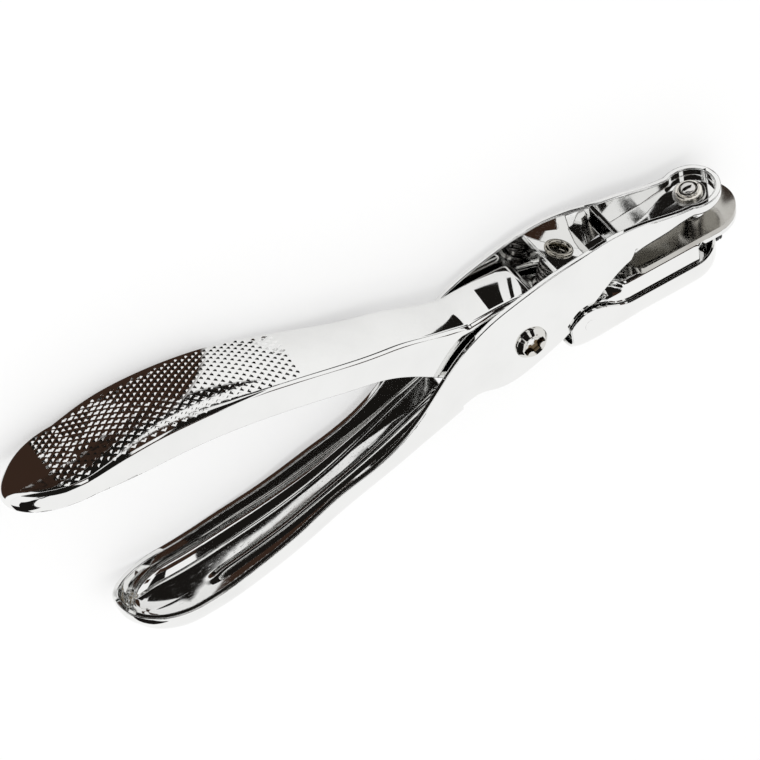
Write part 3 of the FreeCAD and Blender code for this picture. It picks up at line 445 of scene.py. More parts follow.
def bridge_rows():
    """Rows from the middle line behind the hole, round it, to the middle line ahead of it."""
    width = BODY_HALF - 0.5 * SHEET
    start = [(0.0, width * k / BRIDGE_SIDE) for k in range(BRIDGE_SIDE)]
    side = [(along, width) for along in spaced(0.0, BRIDGE_LENGTH, BRIDGE_STEP)]
    end = [(BRIDGE_LENGTH, width * (1 - k / BRIDGE_SIDE)) for k in range(1, BRIDGE_SIDE + 1)]
    rows = []
    for along, out in start + side + end:
        turn = math.atan2(out, along - BRIDGE_EYE)
        ring = (BRIDGE_EYE + EYE_HOLE * math.cos(turn), EYE_HOLE * math.sin(turn))
        row = []
        for k in range(BRIDGE_RINGS + 1):
            share = k / BRIDGE_RINGS
            place = along + (ring[0] - along) * share
            off = out + (ring[1] - out) * share
            narrow = jaw_plan(max(bridge_point(place, 0)[0], JAW_PLAN[0][0])) / BODY_HALF
            row.append(bridge_point(place, off * (narrow + (1 - narrow) * share)))
        rows.append(row)
    return rows


print("lip rows:", len(lip_rows()), "bridge rows:", len(bridge_rows()))


# %% The lower lever as one thick sheet
def lower_keep(row, following, j):
    """Faces of the web are left out over the well, where the sheet is cut away."""
    middle = 0.5 * (row[0][0] + following[0][0])
    return j < WALL_STEPS or not WELL_REAR < middle < FLOOR_REAR


bridge_up = (math.sin(BRIDGE_SLOPE), math.cos(BRIDGE_SLOPE), 0)
lower_lever = piece_from(
    "lower_lever_sheet",
    sheet_faces(lower_rows, lower_keep),
    sheet_faces(lip_rows(), outward=(-1, 0, 0)),
    sheet_faces(bridge_rows(), outward=bridge_up),
)
thicken(lower_lever, SHEET, inside_offset=1)
round_rims(lower_lever, 0.3)
print("lower lever, mm:", size_of(lower_lever))

# %% [markdown]
# ## Upper lever
# The second pressing is the upper handle and the lower jaw. Its handle opens downwards and its web is
# domed to suit the palm. Over the pivot the web makes a hump, drops steeply behind the spring, slopes
# under the spring's foot and runs flat under the die plate. Rows at equal steps of X would be far too
# coarse on the steep drop, so here the rows are spaced along the web's own line.
#
# Ahead of the pivot the walls pass between those of the lower lever. Further on they must be as wide as the
# die plate. On the tool they swell outwards as soon as they are clear of the other lever's walls, low down
# first and then all over. FLARE gives that wider plan, and jaw_wall blends it in below the other wall.

# %% Tables of the upper lever
UPPER_TROUGH = [
    (-11, 5.4, -4.0, 10.0, 1.4, 0.1), (-15, 5.4, -1.9, 11.2, 1.5, 0.1),
    (-20, 5.6, 2.0, 13.1, 1.3, 0.15), (-25, 5.89, 6.0, 15.0, 1.3, 0.2),
    (-30, 6.28, 9.1, 16.4, 1.3, 0.25), (-37, 6.78, 11.7, 18.6, 1.3, 0.4),
    (-45, 7.47, 14.7, 21.6, 1.3, 0.6), (-55, 8.25, 18.1, 25.0, 1.3, 1.1),
    (-65, 8.74, 20.6, 27.3, 1.3, 1.5), (-75, 8.94, 21.8, 28.4, 1.3, 1.65),
    (-83, 8.94, 22.2, 28.2, 1.3, 1.5), (-91, 8.45, 22.6, 26.9, 1.3, 1.1),
]
UPPER_TIP = -106.0
CREASE_X = -11.0
SLOPE_TOP, SLOPE_FOOT = (6.0, 4.75), (13.2, 2.0)
# start, a point on the way, end
WEB_ARCS = [
    [(CREASE_X, 10.1), (-4, 10.35), (2.4, 9.9)],
    [(2.4, 9.9), (3.75, 9.35), (4.3, 8.2)],
    [(4.3, 8.2), (4.6, 7.05), (4.9, 5.9)],
    [(4.9, 5.9), (5.15, 5.15), SLOPE_TOP],
    [SLOPE_TOP, (9.6, 3.375), SLOPE_FOOT],
    [SLOPE_FOOT, (13.8, 1.87), (14.4, DIE_SEAT)],
]
UPPER_LOW = [(-11, -4.0), (-7, -5.6), (0, -6.3), (7, -5.8), (20, -5.2), (30, -5.0), (36.8, -5.0)]
WALLS_END, WALL_CORNER = 39.0, 2.2
WIDE_FROM = 24.5
WAIST = [(6, PIVOT_HALF), (11, 5.05), (16, 4.5), (19.4, 4.4), (20.4, 5.6), (21.6, 7.0),
         (22.8, BODY_HALF), (WIDE_FROM, BODY_HALF)]
FLARE = [(14.7, 4.6), (15.6, 5.3), (16.6, 6.4), (17.8, 7.0), (19.0, 7.2), (WIDE_FROM, BODY_HALF)]
WALL_CLEARANCE, FLARE_BLEND = 0.25, 1.1
CHIP_HOLE = 2.53
NOSE_X = JAW_TIP - BODY_HALF
print("narrowest place of the jaw, half width:", min(half for _, half in WAIST))


# %% The web's line, seen from the side
ARC_STEP, FINE_STEP, SEAT_STEP = 0.3, 0.35, 0.8
FINE_TO = 26.0
EASINGS = 3


def arc_points(start, through, end, step):
    """Points along the circle's arc through three points, or along a line if they lie on one."""
    (ax, ay), (bx, by), (cx, cy) = start, through, end
    cross = (bx - ax) * (cy - ay) - (by - ay) * (cx - ax)
    count = max(2, round(math.dist(start, end) / step))
    if abs(cross) < 1e-3:
        return [(ax + (cx - ax) * k / count, ay + (cy - ay) * k / count) for k in range(count + 1)]
    b2, c2 = (bx - ax) ** 2 + (by - ay) ** 2, (cx - ax) ** 2 + (cy - ay) ** 2
    ux = ax + ((cy - ay) * b2 - (by - ay) * c2) / (2 * cross)
    uy = ay + ((bx - ax) * c2 - (cx - ax) * b2) / (2 * cross)
    radius = math.dist((ux, uy), start)
    first = math.atan2(ay - uy, ax - ux)
    sweep = math.atan2(cy - uy, cx - ux) - first
    sweep = (sweep + math.pi) % (2 * math.pi) - math.pi
    return [(ux + radius * math.cos(first + sweep * k / count),
             uy + radius * math.sin(first + sweep * k / count)) for k in range(count + 1)]


def web_line():
    """The web's outer face from the crease to the walls' end, evenly fine, its kinks eased."""
    line = [WEB_ARCS[0][0]]
    for start, through, end in WEB_ARCS:
        line += arc_points(start, through, end, ARC_STEP)[1:]
    seat = spaced(line[-1][0], FINE_TO, FINE_STEP)[1:] + spaced(FINE_TO, WALLS_END, SEAT_STEP)[1:]
    line += [(x, DIE_SEAT) for x in seat]
    for _ in range(EASINGS):
        eased = [line[0]]
        for before, here, after in zip(line, line[1:], line[2:]):
            eased.append(tuple(0.25 * before[k] + 0.5 * here[k] + 0.25 * after[k] for k in (0, 1)))
        line = eased + [line[-1]]
    return line


print("points along the web's line:", len(web_line()))

# %% Widths and lower edge of the upper lever
handle_half, handle_edge, handle_web, handle_bend, handle_crown = (
    spline([(row[0], row[k]) for row in UPPER_TROUGH]) for k in (1, 2, 3, 4, 5))
upper_low = spline(UPPER_LOW)
waist = spline(WAIST)


def upper_half(x):
    if x <= WAIST[0][0]:
        return PIVOT_HALF
    return min(waist(x), BODY_HALF) if x < WIDE_FROM else BODY_HALF


def jaw_wall(x, y):
    """Distance of the jaw's wall from the middle: it flares out below the other lever's wall."""
    half = upper_half(x)
    if not FLARE[0][0] < x < WIDE_FROM:
        return half
    room = wall_low(x) - x * math.sin(CLOSING) - WALL_CLEARANCE - y
    share = min(max(room / FLARE_BLEND, 0.0), 1.0)
    wide = float(np.interp(x, *zip(*FLARE)))
    return half + max(wide - half, 0.0) * share * share * (3 - 2 * share)


def foot(x):
    """Lower edge of the walls, with the rounded corner at their end."""
    corner_x = WALLS_END - WALL_CORNER
    if x <= corner_x:
        return upper_low(x)
    drop = math.sqrt(max(1 - ((x - corner_x) / WALL_CORNER) ** 2, 0.0))
    return UPPER_LOW[-1][1] + WALL_CORNER * (1 - drop)


def handle_profile(x):
    return section(handle_half(x), handle_edge(x), handle_web(x), handle_bend(x), handle_crown(x))


print("upper handle at x = -75, half width and height of its web:", handle_half(-75), handle_web(-75))

# %% Rows round the pivot and along the jaw
PIVOT_BEND = 1.4
STEEP_FROM, STEEP_TO = -4, SLOPE_FOOT[0]


def pivot_rows():
    """Rows of the walls and the web round the pivot and along the jaw."""
    line = web_line()
    travel = np.concatenate([[0], np.cumsum([math.dist(a, b) for a, b in zip(line, line[1:])])])
    steep = [k for k, (x, _) in enumerate(line) if STEEP_FROM <= x <= STEEP_TO]
    start, end = travel[steep[0]], travel[steep[-1]]
    steep_x, steep_run = line[steep[0]][0], line[steep[-1]][0] - line[steep[0]][0]
    rows = []
    for k, (x, y) in enumerate(line[1:], start=1):
        before, after = line[k - 1], line[min(k + 1, len(line) - 1)]
        run = math.dist(before, after)
        inward = ((after[1] - before[1]) / run, -(after[0] - before[0]) / run)
        low_x = steep_x + steep_run * (travel[k] - start) / (end - start) if k in steep else x
        if k == len(line) - 1:
            inward = (0.0, -1.0)
        bend = PIVOT_BEND if x < 0 else JAW_BEND
        top = (x + inward[0] * bend, y + inward[1] * bend)
        row = []
        for j in range(WALL_STEPS):
            share = j / WALL_STEPS
            px = low_x + (top[0] - low_x) * share
            py = foot(low_x) + (top[1] - foot(low_x)) * share
            row.append((px, py, jaw_wall(px, py)))
        for j in range(BEND_STEPS):
            turn = math.pi / 2 * j / BEND_STEPS
            depth = bend * (1 - math.sin(turn))
            row.append((x + inward[0] * depth, y + inward[1] * depth,
                        upper_half(x) - bend * (1 - math.cos(turn))))
        for j in range(WEB_STEPS + 1):
            row.append((x, y, (upper_half(x) - bend) * (1 - j / WEB_STEPS)))
        rows.append(row)
    return rows


print("rows round the pivot and along the jaw:", len(pivot_rows()))

# %% Rows of the nose
NOSE_ROWS = 22
NOSE_SPAN = 7.0  # about the distance from the nose's border to the middle of its hole


def nose_outline(count):
    """Plan of the jaw's nose, from where the walls end to the tip, as (x, distance from the middle)."""
    side = [(x, BODY_HALF) for x in spaced(WALLS_END, NOSE_X, SEAT_STEP)[1:]]
    turns = [math.pi / 2 * k / count for k in range(1, count + 1)]
    return side + [(NOSE_X + BODY_HALF * math.sin(t), BODY_HALF * max(math.cos(t), 0.0)) for t in turns]


def nose_rows(radius, height, columns, collapsed=0, bend=0.0):
    """Flat rows between the nose's outline and a round hole under the punch."""
    outline = nose_outline(NOSE_ROWS)
    border = bend / NOSE_SPAN
    rows = []
    for k, (x, out) in enumerate(outline):
        turn = math.pi * (1 - k / (len(outline) - 1))
        ring = (PUNCH_X + radius * math.cos(turn), radius * math.sin(turn))
        row = [(x, height, out)] * collapsed
        for j in range(columns + 1):
            share = j / columns
            if bend and j <= BEND_STEPS:
                share = border * j / BEND_STEPS
            elif bend:
                share = border + (1 - border) * (j - BEND_STEPS) / (columns - BEND_STEPS)
            row.append((x + (ring[0] - x) * share, height, out + (ring[1] - out) * share))
        rows.append(row)
    return rows


print("points of the nose's outline:", len(nose_outline(NOSE_ROWS)))


# %% The upper lever as one thick sheet
def upper_keep(row, following, j):
    """The walls stop where the nose begins."""
    middle = 0.5 * (row[0][0] + following[0][0])
    return middle < WALLS_END or j >= WALL_STEPS


heel_x = UPPER_TROUGH[-1][0]
upper_rows = fan(heel_x, handle_half(heel_x), UPPER_TIP - heel_x, handle_profile(heel_x), rise=1.0,
                 roundness=0.85)[::-1]
for x in spaced(heel_x, CREASE_X, ROW_STEP)[1:]:
    upper_rows.append(straight_row(x, handle_half(x), handle_profile(x)))
upper_rows += pivot_rows()
upper_rows += nose_rows(CHIP_HOLE, DIE_SEAT, BEND_STEPS + WEB_STEPS, WALL_STEPS, JAW_BEND)
upper_lever = piece_from("upper_lever_sheet", sheet_faces(upper_rows, upper_keep))
thicken(upper_lever, SHEET, inside_offset=1)
round_rims(upper_lever, 0.3)
print("upper lever, mm:", size_of(upper_lever))

# %% [markdown]
# ## Chip tray and die plate
# The tray is a thinner channel that hugs the lower jaw and catches the chips, round at its front. The die
# plate is flat and hard, with the cutting hole. Both use the same rows as the levers.

# %% Chip tray
# x, open edge, floor, bend radius
TRAY = [
    (8.6, -2.2, -8.9, 3.9), (10.0, -0.9, -10.0, 4.6), (11.6, 0.0, -10.5, 4.8), (13.2, 0.22, -10.6, 4.8),
    (15.3, -0.2, -10.6, 4.8), (18.2, -1.6, -10.4, 4.8), (21.2, -2.9, -10.3, 4.8), (24.0, -3.1, -10.1, 4.8),
    (31.0, -3.1, -9.9, 4.6), (37.9, -3.1, -9.7, 4.4),
]
TRAY_HALF = 8.0
TRAY_SHEET = 0.6
TRAY_TIP = 45.75
TRAY_CROWN = 0.2
TRAY_STEP = 0.7
tray_edge, tray_floor, tray_bend = (spline([(row[0], row[k]) for row in TRAY]) for k in (1, 2, 3))


def tray_profile(x):
    return section(TRAY_HALF, tray_edge(x), tray_floor(x), tray_bend(x), TRAY_CROWN)


tray_front = TRAY[-1][0]
tray_rows = [straight_row(x, TRAY_HALF, tray_profile(x))
             for x in spaced(TRAY[0][0], tray_front, TRAY_STEP)]
tray_rows += fan(tray_front, TRAY_HALF, TRAY_TIP - tray_front, tray_profile(tray_front), rise=0.6)[1:]
chip_tray = piece_from("chip_tray_sheet", sheet_faces(tray_rows))
thicken(chip_tray, TRAY_SHEET, inside_offset=1)
round_rims(chip_tray, 0.12, segments=2)
print("chip tray, mm:", size_of(chip_tray))

# %% Die plate
DIE_HOLE = 2.42
DIE_TOP = DIE_SEAT + DIE_THICK
DIE_COLUMNS = 14
DIE_STEP = 0.45
DIE_PLAN = [(22.0, 3.0), (23.3, 3.6), (25.2, 6.05), (26.4, BODY_HALF)]
die_rear, die_wide = DIE_PLAN[0][0], DIE_PLAN[-1][0]
die_plan = spline(DIE_PLAN)


def die_half(x):
    return min(die_plan(x), BODY_HALF) if x < die_wide else BODY_HALF


die_rows = [[(x, DIE_TOP, die_half(x) * (1 - j / DIE_COLUMNS)) for j in range(DIE_COLUMNS + 1)]
            for x in spaced(die_rear, WALLS_END, DIE_STEP)]
die_rows += nose_rows(DIE_HOLE, DIE_TOP, DIE_COLUMNS)
die_plate = piece_from("die_plate_ground", sheet_faces(die_rows, outward=(0, 1, 0)))
thicken(die_plate, DIE_THICK)
round_edges(die_plate, 0.15)
print("die plate, mm:", size_of(die_plate))

# %% [markdown]
# ## Turned pieces
# Screw, nut, washers, rivets, punch, collar, eyelet and knob all come off a lathe, so each is a half
# profile spun round an axis. Blender's Screw modifier would do it too. Doing it in a few lines of mesh
# code keeps the middle closed and lets one table place every piece on its own axis.


# %% Spinning a profile
def spun(profile, place, axis, around=56):
    """Points and faces of a profile of (radius, height) spun about an axis that starts at place."""
    mesh = bmesh.new()
    turn = Vector((0, 0, 1)).rotation_difference(Vector(axis)).to_matrix()
    start = Vector(place)
    rings = []
    for radius, height in profile:
        ring = []
        for k in range(around):
            angle = 2 * math.pi * k / around
            local = Vector((radius * math.cos(angle), radius * math.sin(angle), height))
            ring.append(mesh.verts.new((start + turn @ local) * MM))
        rings.append(ring)
    closed = profile[0][0] > 0
    pairs = list(zip(rings, rings[1:] + rings[:1])) if closed else list(zip(rings, rings[1:]))
    for low, high in pairs:
        for k in range(around):
            after = (k + 1) % around
            mesh.faces.new((low[k], low[after], high[after], high[k]))
    bmesh.ops.remove_doubles(mesh, verts=mesh.verts, dist=1e-7)
    bmesh.ops.recalc_face_normals(mesh, faces=mesh.faces)
    return points_and_faces(mesh)


PUNCH_AXIS = Vector((-math.sin(CLOSING), math.cos(CLOSING), 0))
PUNCH_END = 4.0    # height of its cutting end, jaws open


def punch_point(height):
    """A point on the punch's axis, this far above its cutting end."""
    x = PUNCH_X * math.cos(CLOSING) - DIE_TOP * math.sin(CLOSING)
    y = PUNCH_X * math.sin(CLOSING) + DIE_TOP * math.cos(CLOSING)
    return Vector((x, y, MIDDLE)) + PUNCH_AXIS * ((PUNCH_END - y) / PUNCH_AXIS.y + height)


SEAT_SINK = 0.2    # the shoulder and the washer seat this deep in the sloping floor
WASHER_THICK = 0.5
SHOULDER = (wall_low(PUNCH_X) + SEAT_SINK - punch_point(0).y) / PUNCH_AXIS.y
WASHER_SEAT = SHOULDER + SHEET - 2 * SEAT_SINK
COLLAR_SEAT = WASHER_SEAT + WASHER_THICK
BRIDGE_UP = Vector(bridge_up)
EYE = Vector(bridge_point(BRIDGE_EYE, 0)) + Vector((0, 0, MIDDLE))
SEAT_RUN = Vector((SLOPE_FOOT[0] - SLOPE_TOP[0], SLOPE_FOOT[1] - SLOPE_TOP[1], 0)).normalized()
SEAT_UP = Vector((-SEAT_RUN.y, SEAT_RUN.x, 0))


def spring_foot():
    """Where the spring's axis meets its seat, and how far that is below the bridge."""
    start = EYE - BRIDGE_UP * SHEET
    distance = (start - Vector((*SLOPE_TOP, MIDDLE))).dot(SEAT_UP) / BRIDGE_UP.dot(SEAT_UP)
    return start - BRIDGE_UP * distance, distance


SPRING_FOOT, SPRING_ROOM = spring_foot()
print("spring room, mm:", round(SPRING_ROOM, 2))

# %% Profiles off the lathe
X_AXIS, Y_AXIS, Z_AXIS = Vector((1, 0, 0)), Vector((0, 1, 0)), Vector((0, 0, 1))
SCREW_FACE = MIDDLE + BODY_HALF
SCREW_DISH = 1.2    # height of the dish in the head
# (radius, height) from one end to the other
screw_head = [(0, -12.1), (1.15, -12.1), (1.45, -11.8), (1.45, 0), (3.5, 0), (3.5, 0.33), (3.47, 0.4),
              (3.36, 0.52), (3.06, 0.847), (2.76, 1.174), (2.64, 1.3), (2.55, 1.37), (2.45, 1.4),
              (2.33, 1.4), (2.22, 1.36), (2.1, 1.27), (1.98, 1.21), (1.8, SCREW_DISH), (0, SCREW_DISH)]
nut_body = [(0, 0), (3.1, 0), (3.5, 0.4), (3.5, 1.75), (2.3, 1.75), (2.3, 16.05), (1.48, 16.05),
            (1.48, 2.55), (0, 2.55)]
flat_washer = [(2.35, 0), (4.6, 0), (4.6, WASHER_THICK), (2.35, WASHER_THICK)]
bush_tube = [(2.35, 0), (3.2, 0), (3.2, 10.8), (2.35, 10.8)]
punch_body = [(0, 0.35), (1.85, 0.25), (2.2, 0), (2.2, SHOULDER), (1.54, SHOULDER),
              (1.54, COLLAR_SEAT + 1.0), (1.4, COLLAR_SEAT + 1.28), (1.0, COLLAR_SEAT + 1.45),
              (0, COLLAR_SEAT + 1.54)]
punch_disc = [(1.57, 0), (3.3, 0), (3.3, WASHER_THICK), (1.57, WASHER_THICK)]
punch_cap = [(1.57, 0), (2.7, 0), (2.7, 0.5), (2.6, 0.64), (2.2, 0.7), (2.12, 0.78), (2.08, 1.05),
             (1.95, 1.15), (1.57, 1.15)]
eyelet_tube = [(1.8, -2.2), (2.15, -2.2), (2.15, 0), (2.9, 0), (2.9, 0.16), (2.8, 0.36), (2.62, 0.47),
               (2.4, 0.5), (2.12, 0.45), (1.92, 0.33), (1.8, 0.1)]
seat_stud = [(0, 0), (3.27, 0), (3.27, 0.4), (1.88, 0.4), (1.88, 1.3), (1.48, 1.7), (0, 1.7)]
die_rivet = [(0, 0), (1.92, 0), (1.92, 0.7), (1.2, 0.7), (1.2, 3.2), (0, 3.2)]
tray_rivet = [(0, 0), (1.5, 0), (1.5, 0.3), (1.0, 0.3), (1.0, 4.7), (1.4, 4.84), (1.1, 4.88), (0, 4.9)]
tray_collar = [(1.03, 0), (1.4, 0), (1.4, 2.2), (1.03, 2.2)]
KNOB_R, KNOB_GROOVE, KNOB_LENGTH = 1.2, 0.98, 2.3
knob_band = KNOB_LENGTH / 5
black_knob = [(0.53, 0), (KNOB_R - 0.1, 0), (KNOB_R, 0.1), (KNOB_R, knob_band),
              (KNOB_GROOVE, 1.2 * knob_band), (KNOB_GROOVE, 1.8 * knob_band), (KNOB_R, 2 * knob_band),
              (KNOB_R, 3 * knob_band), (KNOB_GROOVE, 3.2 * knob_band), (KNOB_GROOVE, 3.8 * knob_band),
              (KNOB_R, 4 * knob_band), (KNOB_R - 0.12, 4.7 * knob_band), (KNOB_R - 0.3, KNOB_LENGTH),
              (0.53, KNOB_LENGTH)]
stud = [(0, -1.05), (0.7, -1.05), (0.7, -0.65), (0.5, -0.65), (0.5, 2.5), (0, 2.5)]
KNOB_SEAT = Vector((TRAY_TIP, -7.1, MIDDLE))
LOWER, UPPER, TRAY_BODY = "lower_lever_body", "upper_lever_body", "tray_body"
RIVET_Y = DIE_SEAT - SHEET - 0.7
TRAY_PIN = (13.0, -3.4)
TRAY_RIVET_OUT, TRAY_COLLAR_OUT = 3.17, 5.09    # their inner ends, from the middle plane
print("knob reaches x =", round(KNOB_SEAT.x + KNOB_LENGTH, 2))

# %% Where each turned piece goes
# name, profile, place, axis, body, material slot, bevel
TURNED = [
    ("pivot_screw", screw_head, (0, 0, SCREW_FACE), Z_AXIS, LOWER, "screw_nickel", 0.0),
    ("pivot_nut", nut_body, (0, 0, 0), Z_AXIS, LOWER, "screw_nickel", 0.15),
    ("washer_screw_side", flat_washer, (0, 0, 14.475), Z_AXIS, LOWER, "washer_steel", 0.08),
    ("washer_nut_side", flat_washer, (0, 0, 3.025), Z_AXIS, LOWER, "washer_steel", 0.08),
    ("pivot_bush", bush_tube, (0, 0, 3.6), Z_AXIS, UPPER, "bush_brass", 0.08),
    ("punch_pin", punch_body, punch_point(0), PUNCH_AXIS, LOWER, "punch_steel", 0.06),
    ("punch_washer", punch_disc, punch_point(WASHER_SEAT), PUNCH_AXIS, LOWER, "washer_steel", 0.1),
    ("punch_collar", punch_cap, punch_point(COLLAR_SEAT), PUNCH_AXIS, LOWER, "collar_steel", 0.06),
    ("spring_eyelet", eyelet_tube, EYE, BRIDGE_UP, LOWER, "eyelet_nickel", 0.05),
    ("spring_seat", seat_stud, SPRING_FOOT, SEAT_UP, UPPER, "rivet_steel", 0.08),
    ("die_rivet_rear", die_rivet, (28.6, RIVET_Y, MIDDLE), Y_AXIS, UPPER, "rivet_steel", 0.1),
    ("die_rivet_front", die_rivet, (36.6, RIVET_Y, MIDDLE), Y_AXIS, UPPER, "rivet_steel", 0.1),
    ("tray_knob", black_knob, KNOB_SEAT, X_AXIS, TRAY_BODY, "knob_black", 0.04),
    ("knob_stud", stud, KNOB_SEAT, X_AXIS, TRAY_BODY, "rivet_steel", 0.05),
]
for side, sign in (("screw_side", 1), ("nut_side", -1)):
    out = Vector((0, 0, sign))
    pin = Vector((*TRAY_PIN, MIDDLE))
    TURNED.append(("tray_rivet_" + side, tray_rivet, pin + out * TRAY_RIVET_OUT, out, UPPER,
                   "rivet_steel", 0.06))
    TURNED.append(("tray_collar_" + side, tray_collar, pin + out * TRAY_COLLAR_OUT, out, UPPER,
                   "washer_steel", 0.05))
print("turned pieces:", len(TURNED))

# %% Turning them, and how well each fits its CAD box
turned_pieces = {}
for name, profile, place, axis, body, slot, bevel in TURNED:
    piece = piece_from(name + "_turned", spun(profile, place, axis))
    if bevel:
        round_edges(piece, bevel, angle=30.0)
    turned_pieces[name] = (piece, body, slot)
    low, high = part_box(name)
    made = size_of(piece)
    shift = max(abs(a - b / MM) for a, b in zip(made, (*low, *high)))
    print(f"{name:24s} off the CAD box by {shift:.2f} mm")

# %% [markdown]
# ## The drive recess
# The pivot screw's head has a steep chamfer, a narrow bright ring and a shallow dish with a cross recess.
# The recess could be painted on, but a dark cross without depth looks printed. So a cross-shaped cutter,
# narrower at its foot, is taken out of the head with a Boolean modifier, and a bevel softens the rim.

# %% Cutting the cross recess
RECESS_ARM, RECESS_HALF, RECESS_DEPTH = 2.25, 0.78, 1.25


def cross_outline(arm, half):
    ease = 0.55 * half
    quarter = [(arm, half - 0.12), (arm - 0.12, half), (half + ease, half),
               (half, half + ease), (half, arm - 0.12), (half - 0.12, arm)]
    points = []
    for k in range(4):
        c, s = math.cos(math.pi / 2 * k), math.sin(math.pi / 2 * k)
        points += [(c * x - s * y, s * x + c * y) for x, y in quarter]
    return points


def cross_cutter(turned_by):
    top = SCREW_FACE + SCREW_DISH
    floor_z = top - RECESS_DEPTH
    levels = [(1.08, top + 0.3), (1.0, top - 0.1), (0.84, floor_z + 0.25), (0.35, floor_z)]
    outline = cross_outline(RECESS_ARM, RECESS_HALF)
    c, s = math.cos(turned_by), math.sin(turned_by)
    points = [((c * x - s * y) * share * MM, (s * x + c * y) * share * MM, z * MM)
              for share, z in levels for x, y in outline]
    count = len(outline)
    faces = []
    for k in range(len(levels) - 1):
        low, high = count * k, count * (k + 1)
        faces += [[low + i, low + (i + 1) % count, high + (i + 1) % count, high + i] for i in range(count)]
    faces += [list(range(count)), list(range(count * (len(levels) - 1), count * len(levels)))]
    cutter = piece_from("cross_cutter", (points, faces))
    mesh = bmesh.new()
    mesh.from_mesh(cutter.data)
    bmesh.ops.recalc_face_normals(mesh, faces=mesh.faces)
    mesh.to_mesh(cutter.data)
    mesh.free()
    return cutter


screw = turned_pieces["pivot_screw"][0]
cutter = cross_cutter(math.radians(20))
cut = screw.modifiers.new("cross recess", "BOOLEAN")
cut.operation = "DIFFERENCE"
cut.solver = "EXACT"
cut.object = cutter
settle(screw)
bpy.data.objects.remove(cutter)
round_edges(screw, 0.07, angle=32.0)
print("pivot screw faces:", len(screw.data.polygons), "box, mm:", size_of(screw))

# %% [markdown]
# ## Knurling
# The upper handle carries a field of small raised diamonds, so that it doesn't slip in the palm. Placing
# hundreds by hand is hopeless and a bump texture would look flat from the side. Python lays a bed of
# diamond cells on the web, and a small Geometry Nodes tree raises each cell into a blunt pyramid.

# %% A bed of diamond cells on the handle's web
KNURL_START, KNURL_END = -96.0, -46.0
KNURL_LENGTH, KNURL_WIDTH = 2.1, 1.5
KNURL_FILL = 0.66
KNURL_SINK = 0.03
KNURL_HALF = 8.0
KNURL_MARGIN = 0.4


def web_surface(x, out):
    """A point on the outer face of the upper handle's web, this far from the middle plane."""
    half, bend, crown = handle_half(x), handle_bend(x), handle_crown(x)
    lean = 2 * math.atan(crown / (half - bend))
    flat = half - bend * (1 - math.sin(lean))
    swell = flat / math.sin(lean)
    middle = handle_web(x) + crown
    if abs(out) <= flat:
        return (x, middle - swell + math.sqrt(swell ** 2 - out ** 2) - KNURL_SINK, out)
    sag = swell - math.sqrt(swell ** 2 - flat ** 2)
    aside = 1 - (half - abs(out)) / bend
    height = middle - bend * math.cos(lean) - sag + bend * math.sqrt(max(1 - aside ** 2, 0.0))
    return (x, height - KNURL_SINK, out)


def knurl_bed():
    points, faces = [], []
    rows_across = round(2 * KNURL_HALF / KNURL_WIDTH)
    for i in range(2 * round((KNURL_END - KNURL_START) / KNURL_LENGTH)):
        x = KNURL_START + i * KNURL_LENGTH / 2
        for j in range(-rows_across, rows_across + 1):
            if (i + j) % 2:
                continue
            out = j * KNURL_WIDTH / 2
            room = handle_half(x) - KNURL_MARGIN * handle_bend(x)
            if abs(out) + KNURL_WIDTH / 2 > room:
                continue
            long, wide = KNURL_FILL * KNURL_LENGTH / 2, KNURL_FILL * KNURL_WIDTH / 2
            corners = [(x - long, out), (x, out + wide), (x + long, out), (x, out - wide)]
            first = len(points)
            for px, po in corners:
                sx, sy, so = web_surface(px, po)
                points.append((sx * MM, sy * MM, (MIDDLE + so) * MM))
            faces.append([first, first + 1, first + 2, first + 3])
    return points, faces


print("diamond cells:", len(knurl_bed()[1]))


# %% The node tree that raises the diamonds
def add_input(tree, name, kind, default=None):
    socket = tree.interface.new_socket(name=name, in_out="INPUT", socket_type=kind)
    if default is not None:
        socket.default_value = default
    return socket.identifier


def set_input(modifier, identifier, value):
    """A modifier knows its inputs by their identifiers, not by their names."""
    modifier[identifier] = value


def link_up(tree, rows):
    """Links sockets by name: (node, its output, next node, its input)."""
    for node, output, following, socket in rows:
        tree.links.new(node.outputs[output], following.inputs[socket])


def knurl_tree():
    """Raises each face of a bed into a blunt pyramid."""
    tree = bpy.data.node_groups.new("raise_diamonds", "GeometryNodeTree")
    names = {
        "bed": add_input(tree, "Bed", "NodeSocketGeometry"),
        "height": add_input(tree, "Height", "NodeSocketFloat", 0.0003),
        "top": add_input(tree, "Blunt top", "NodeSocketFloat", 0.3),
        "finish": add_input(tree, "Finish", "NodeSocketMaterial"),
    }
    tree.interface.new_socket(name="Diamonds", in_out="OUTPUT", socket_type="NodeSocketGeometry")
    add = tree.nodes.new
    start, end = add("NodeGroupInput"), add("NodeGroupOutput")
    raise_faces = add("GeometryNodeExtrudeMesh")
    raise_faces.mode = "FACES"
    raise_faces.inputs["Individual"].default_value = True
    shrink = add("GeometryNodeScaleElements")
    shrink.domain = "FACE"
    flat = add("GeometryNodeSetShadeSmooth")
    flat.inputs["Shade Smooth"].default_value = False
    whole = add("GeometryNodeRealizeInstances")
    dress = add("GeometryNodeSetMaterial")
    link_up(tree, [
        (start, "Bed", raise_faces, "Mesh"), (start, "Height", raise_faces, "Offset Scale"),
        (raise_faces, "Mesh", shrink, "Geometry"), (raise_faces, "Top", shrink, "Selection"),
        (start, "Blunt top", shrink, "Scale"), (shrink, "Geometry", flat, "Geometry"),
        (flat, "Geometry", whole, "Geometry"), (whole, "Geometry", dress, "Geometry"),
        (start, "Finish", dress, "Material"), (dress, "Geometry", end, "Diamonds"),
    ])
    return tree, names


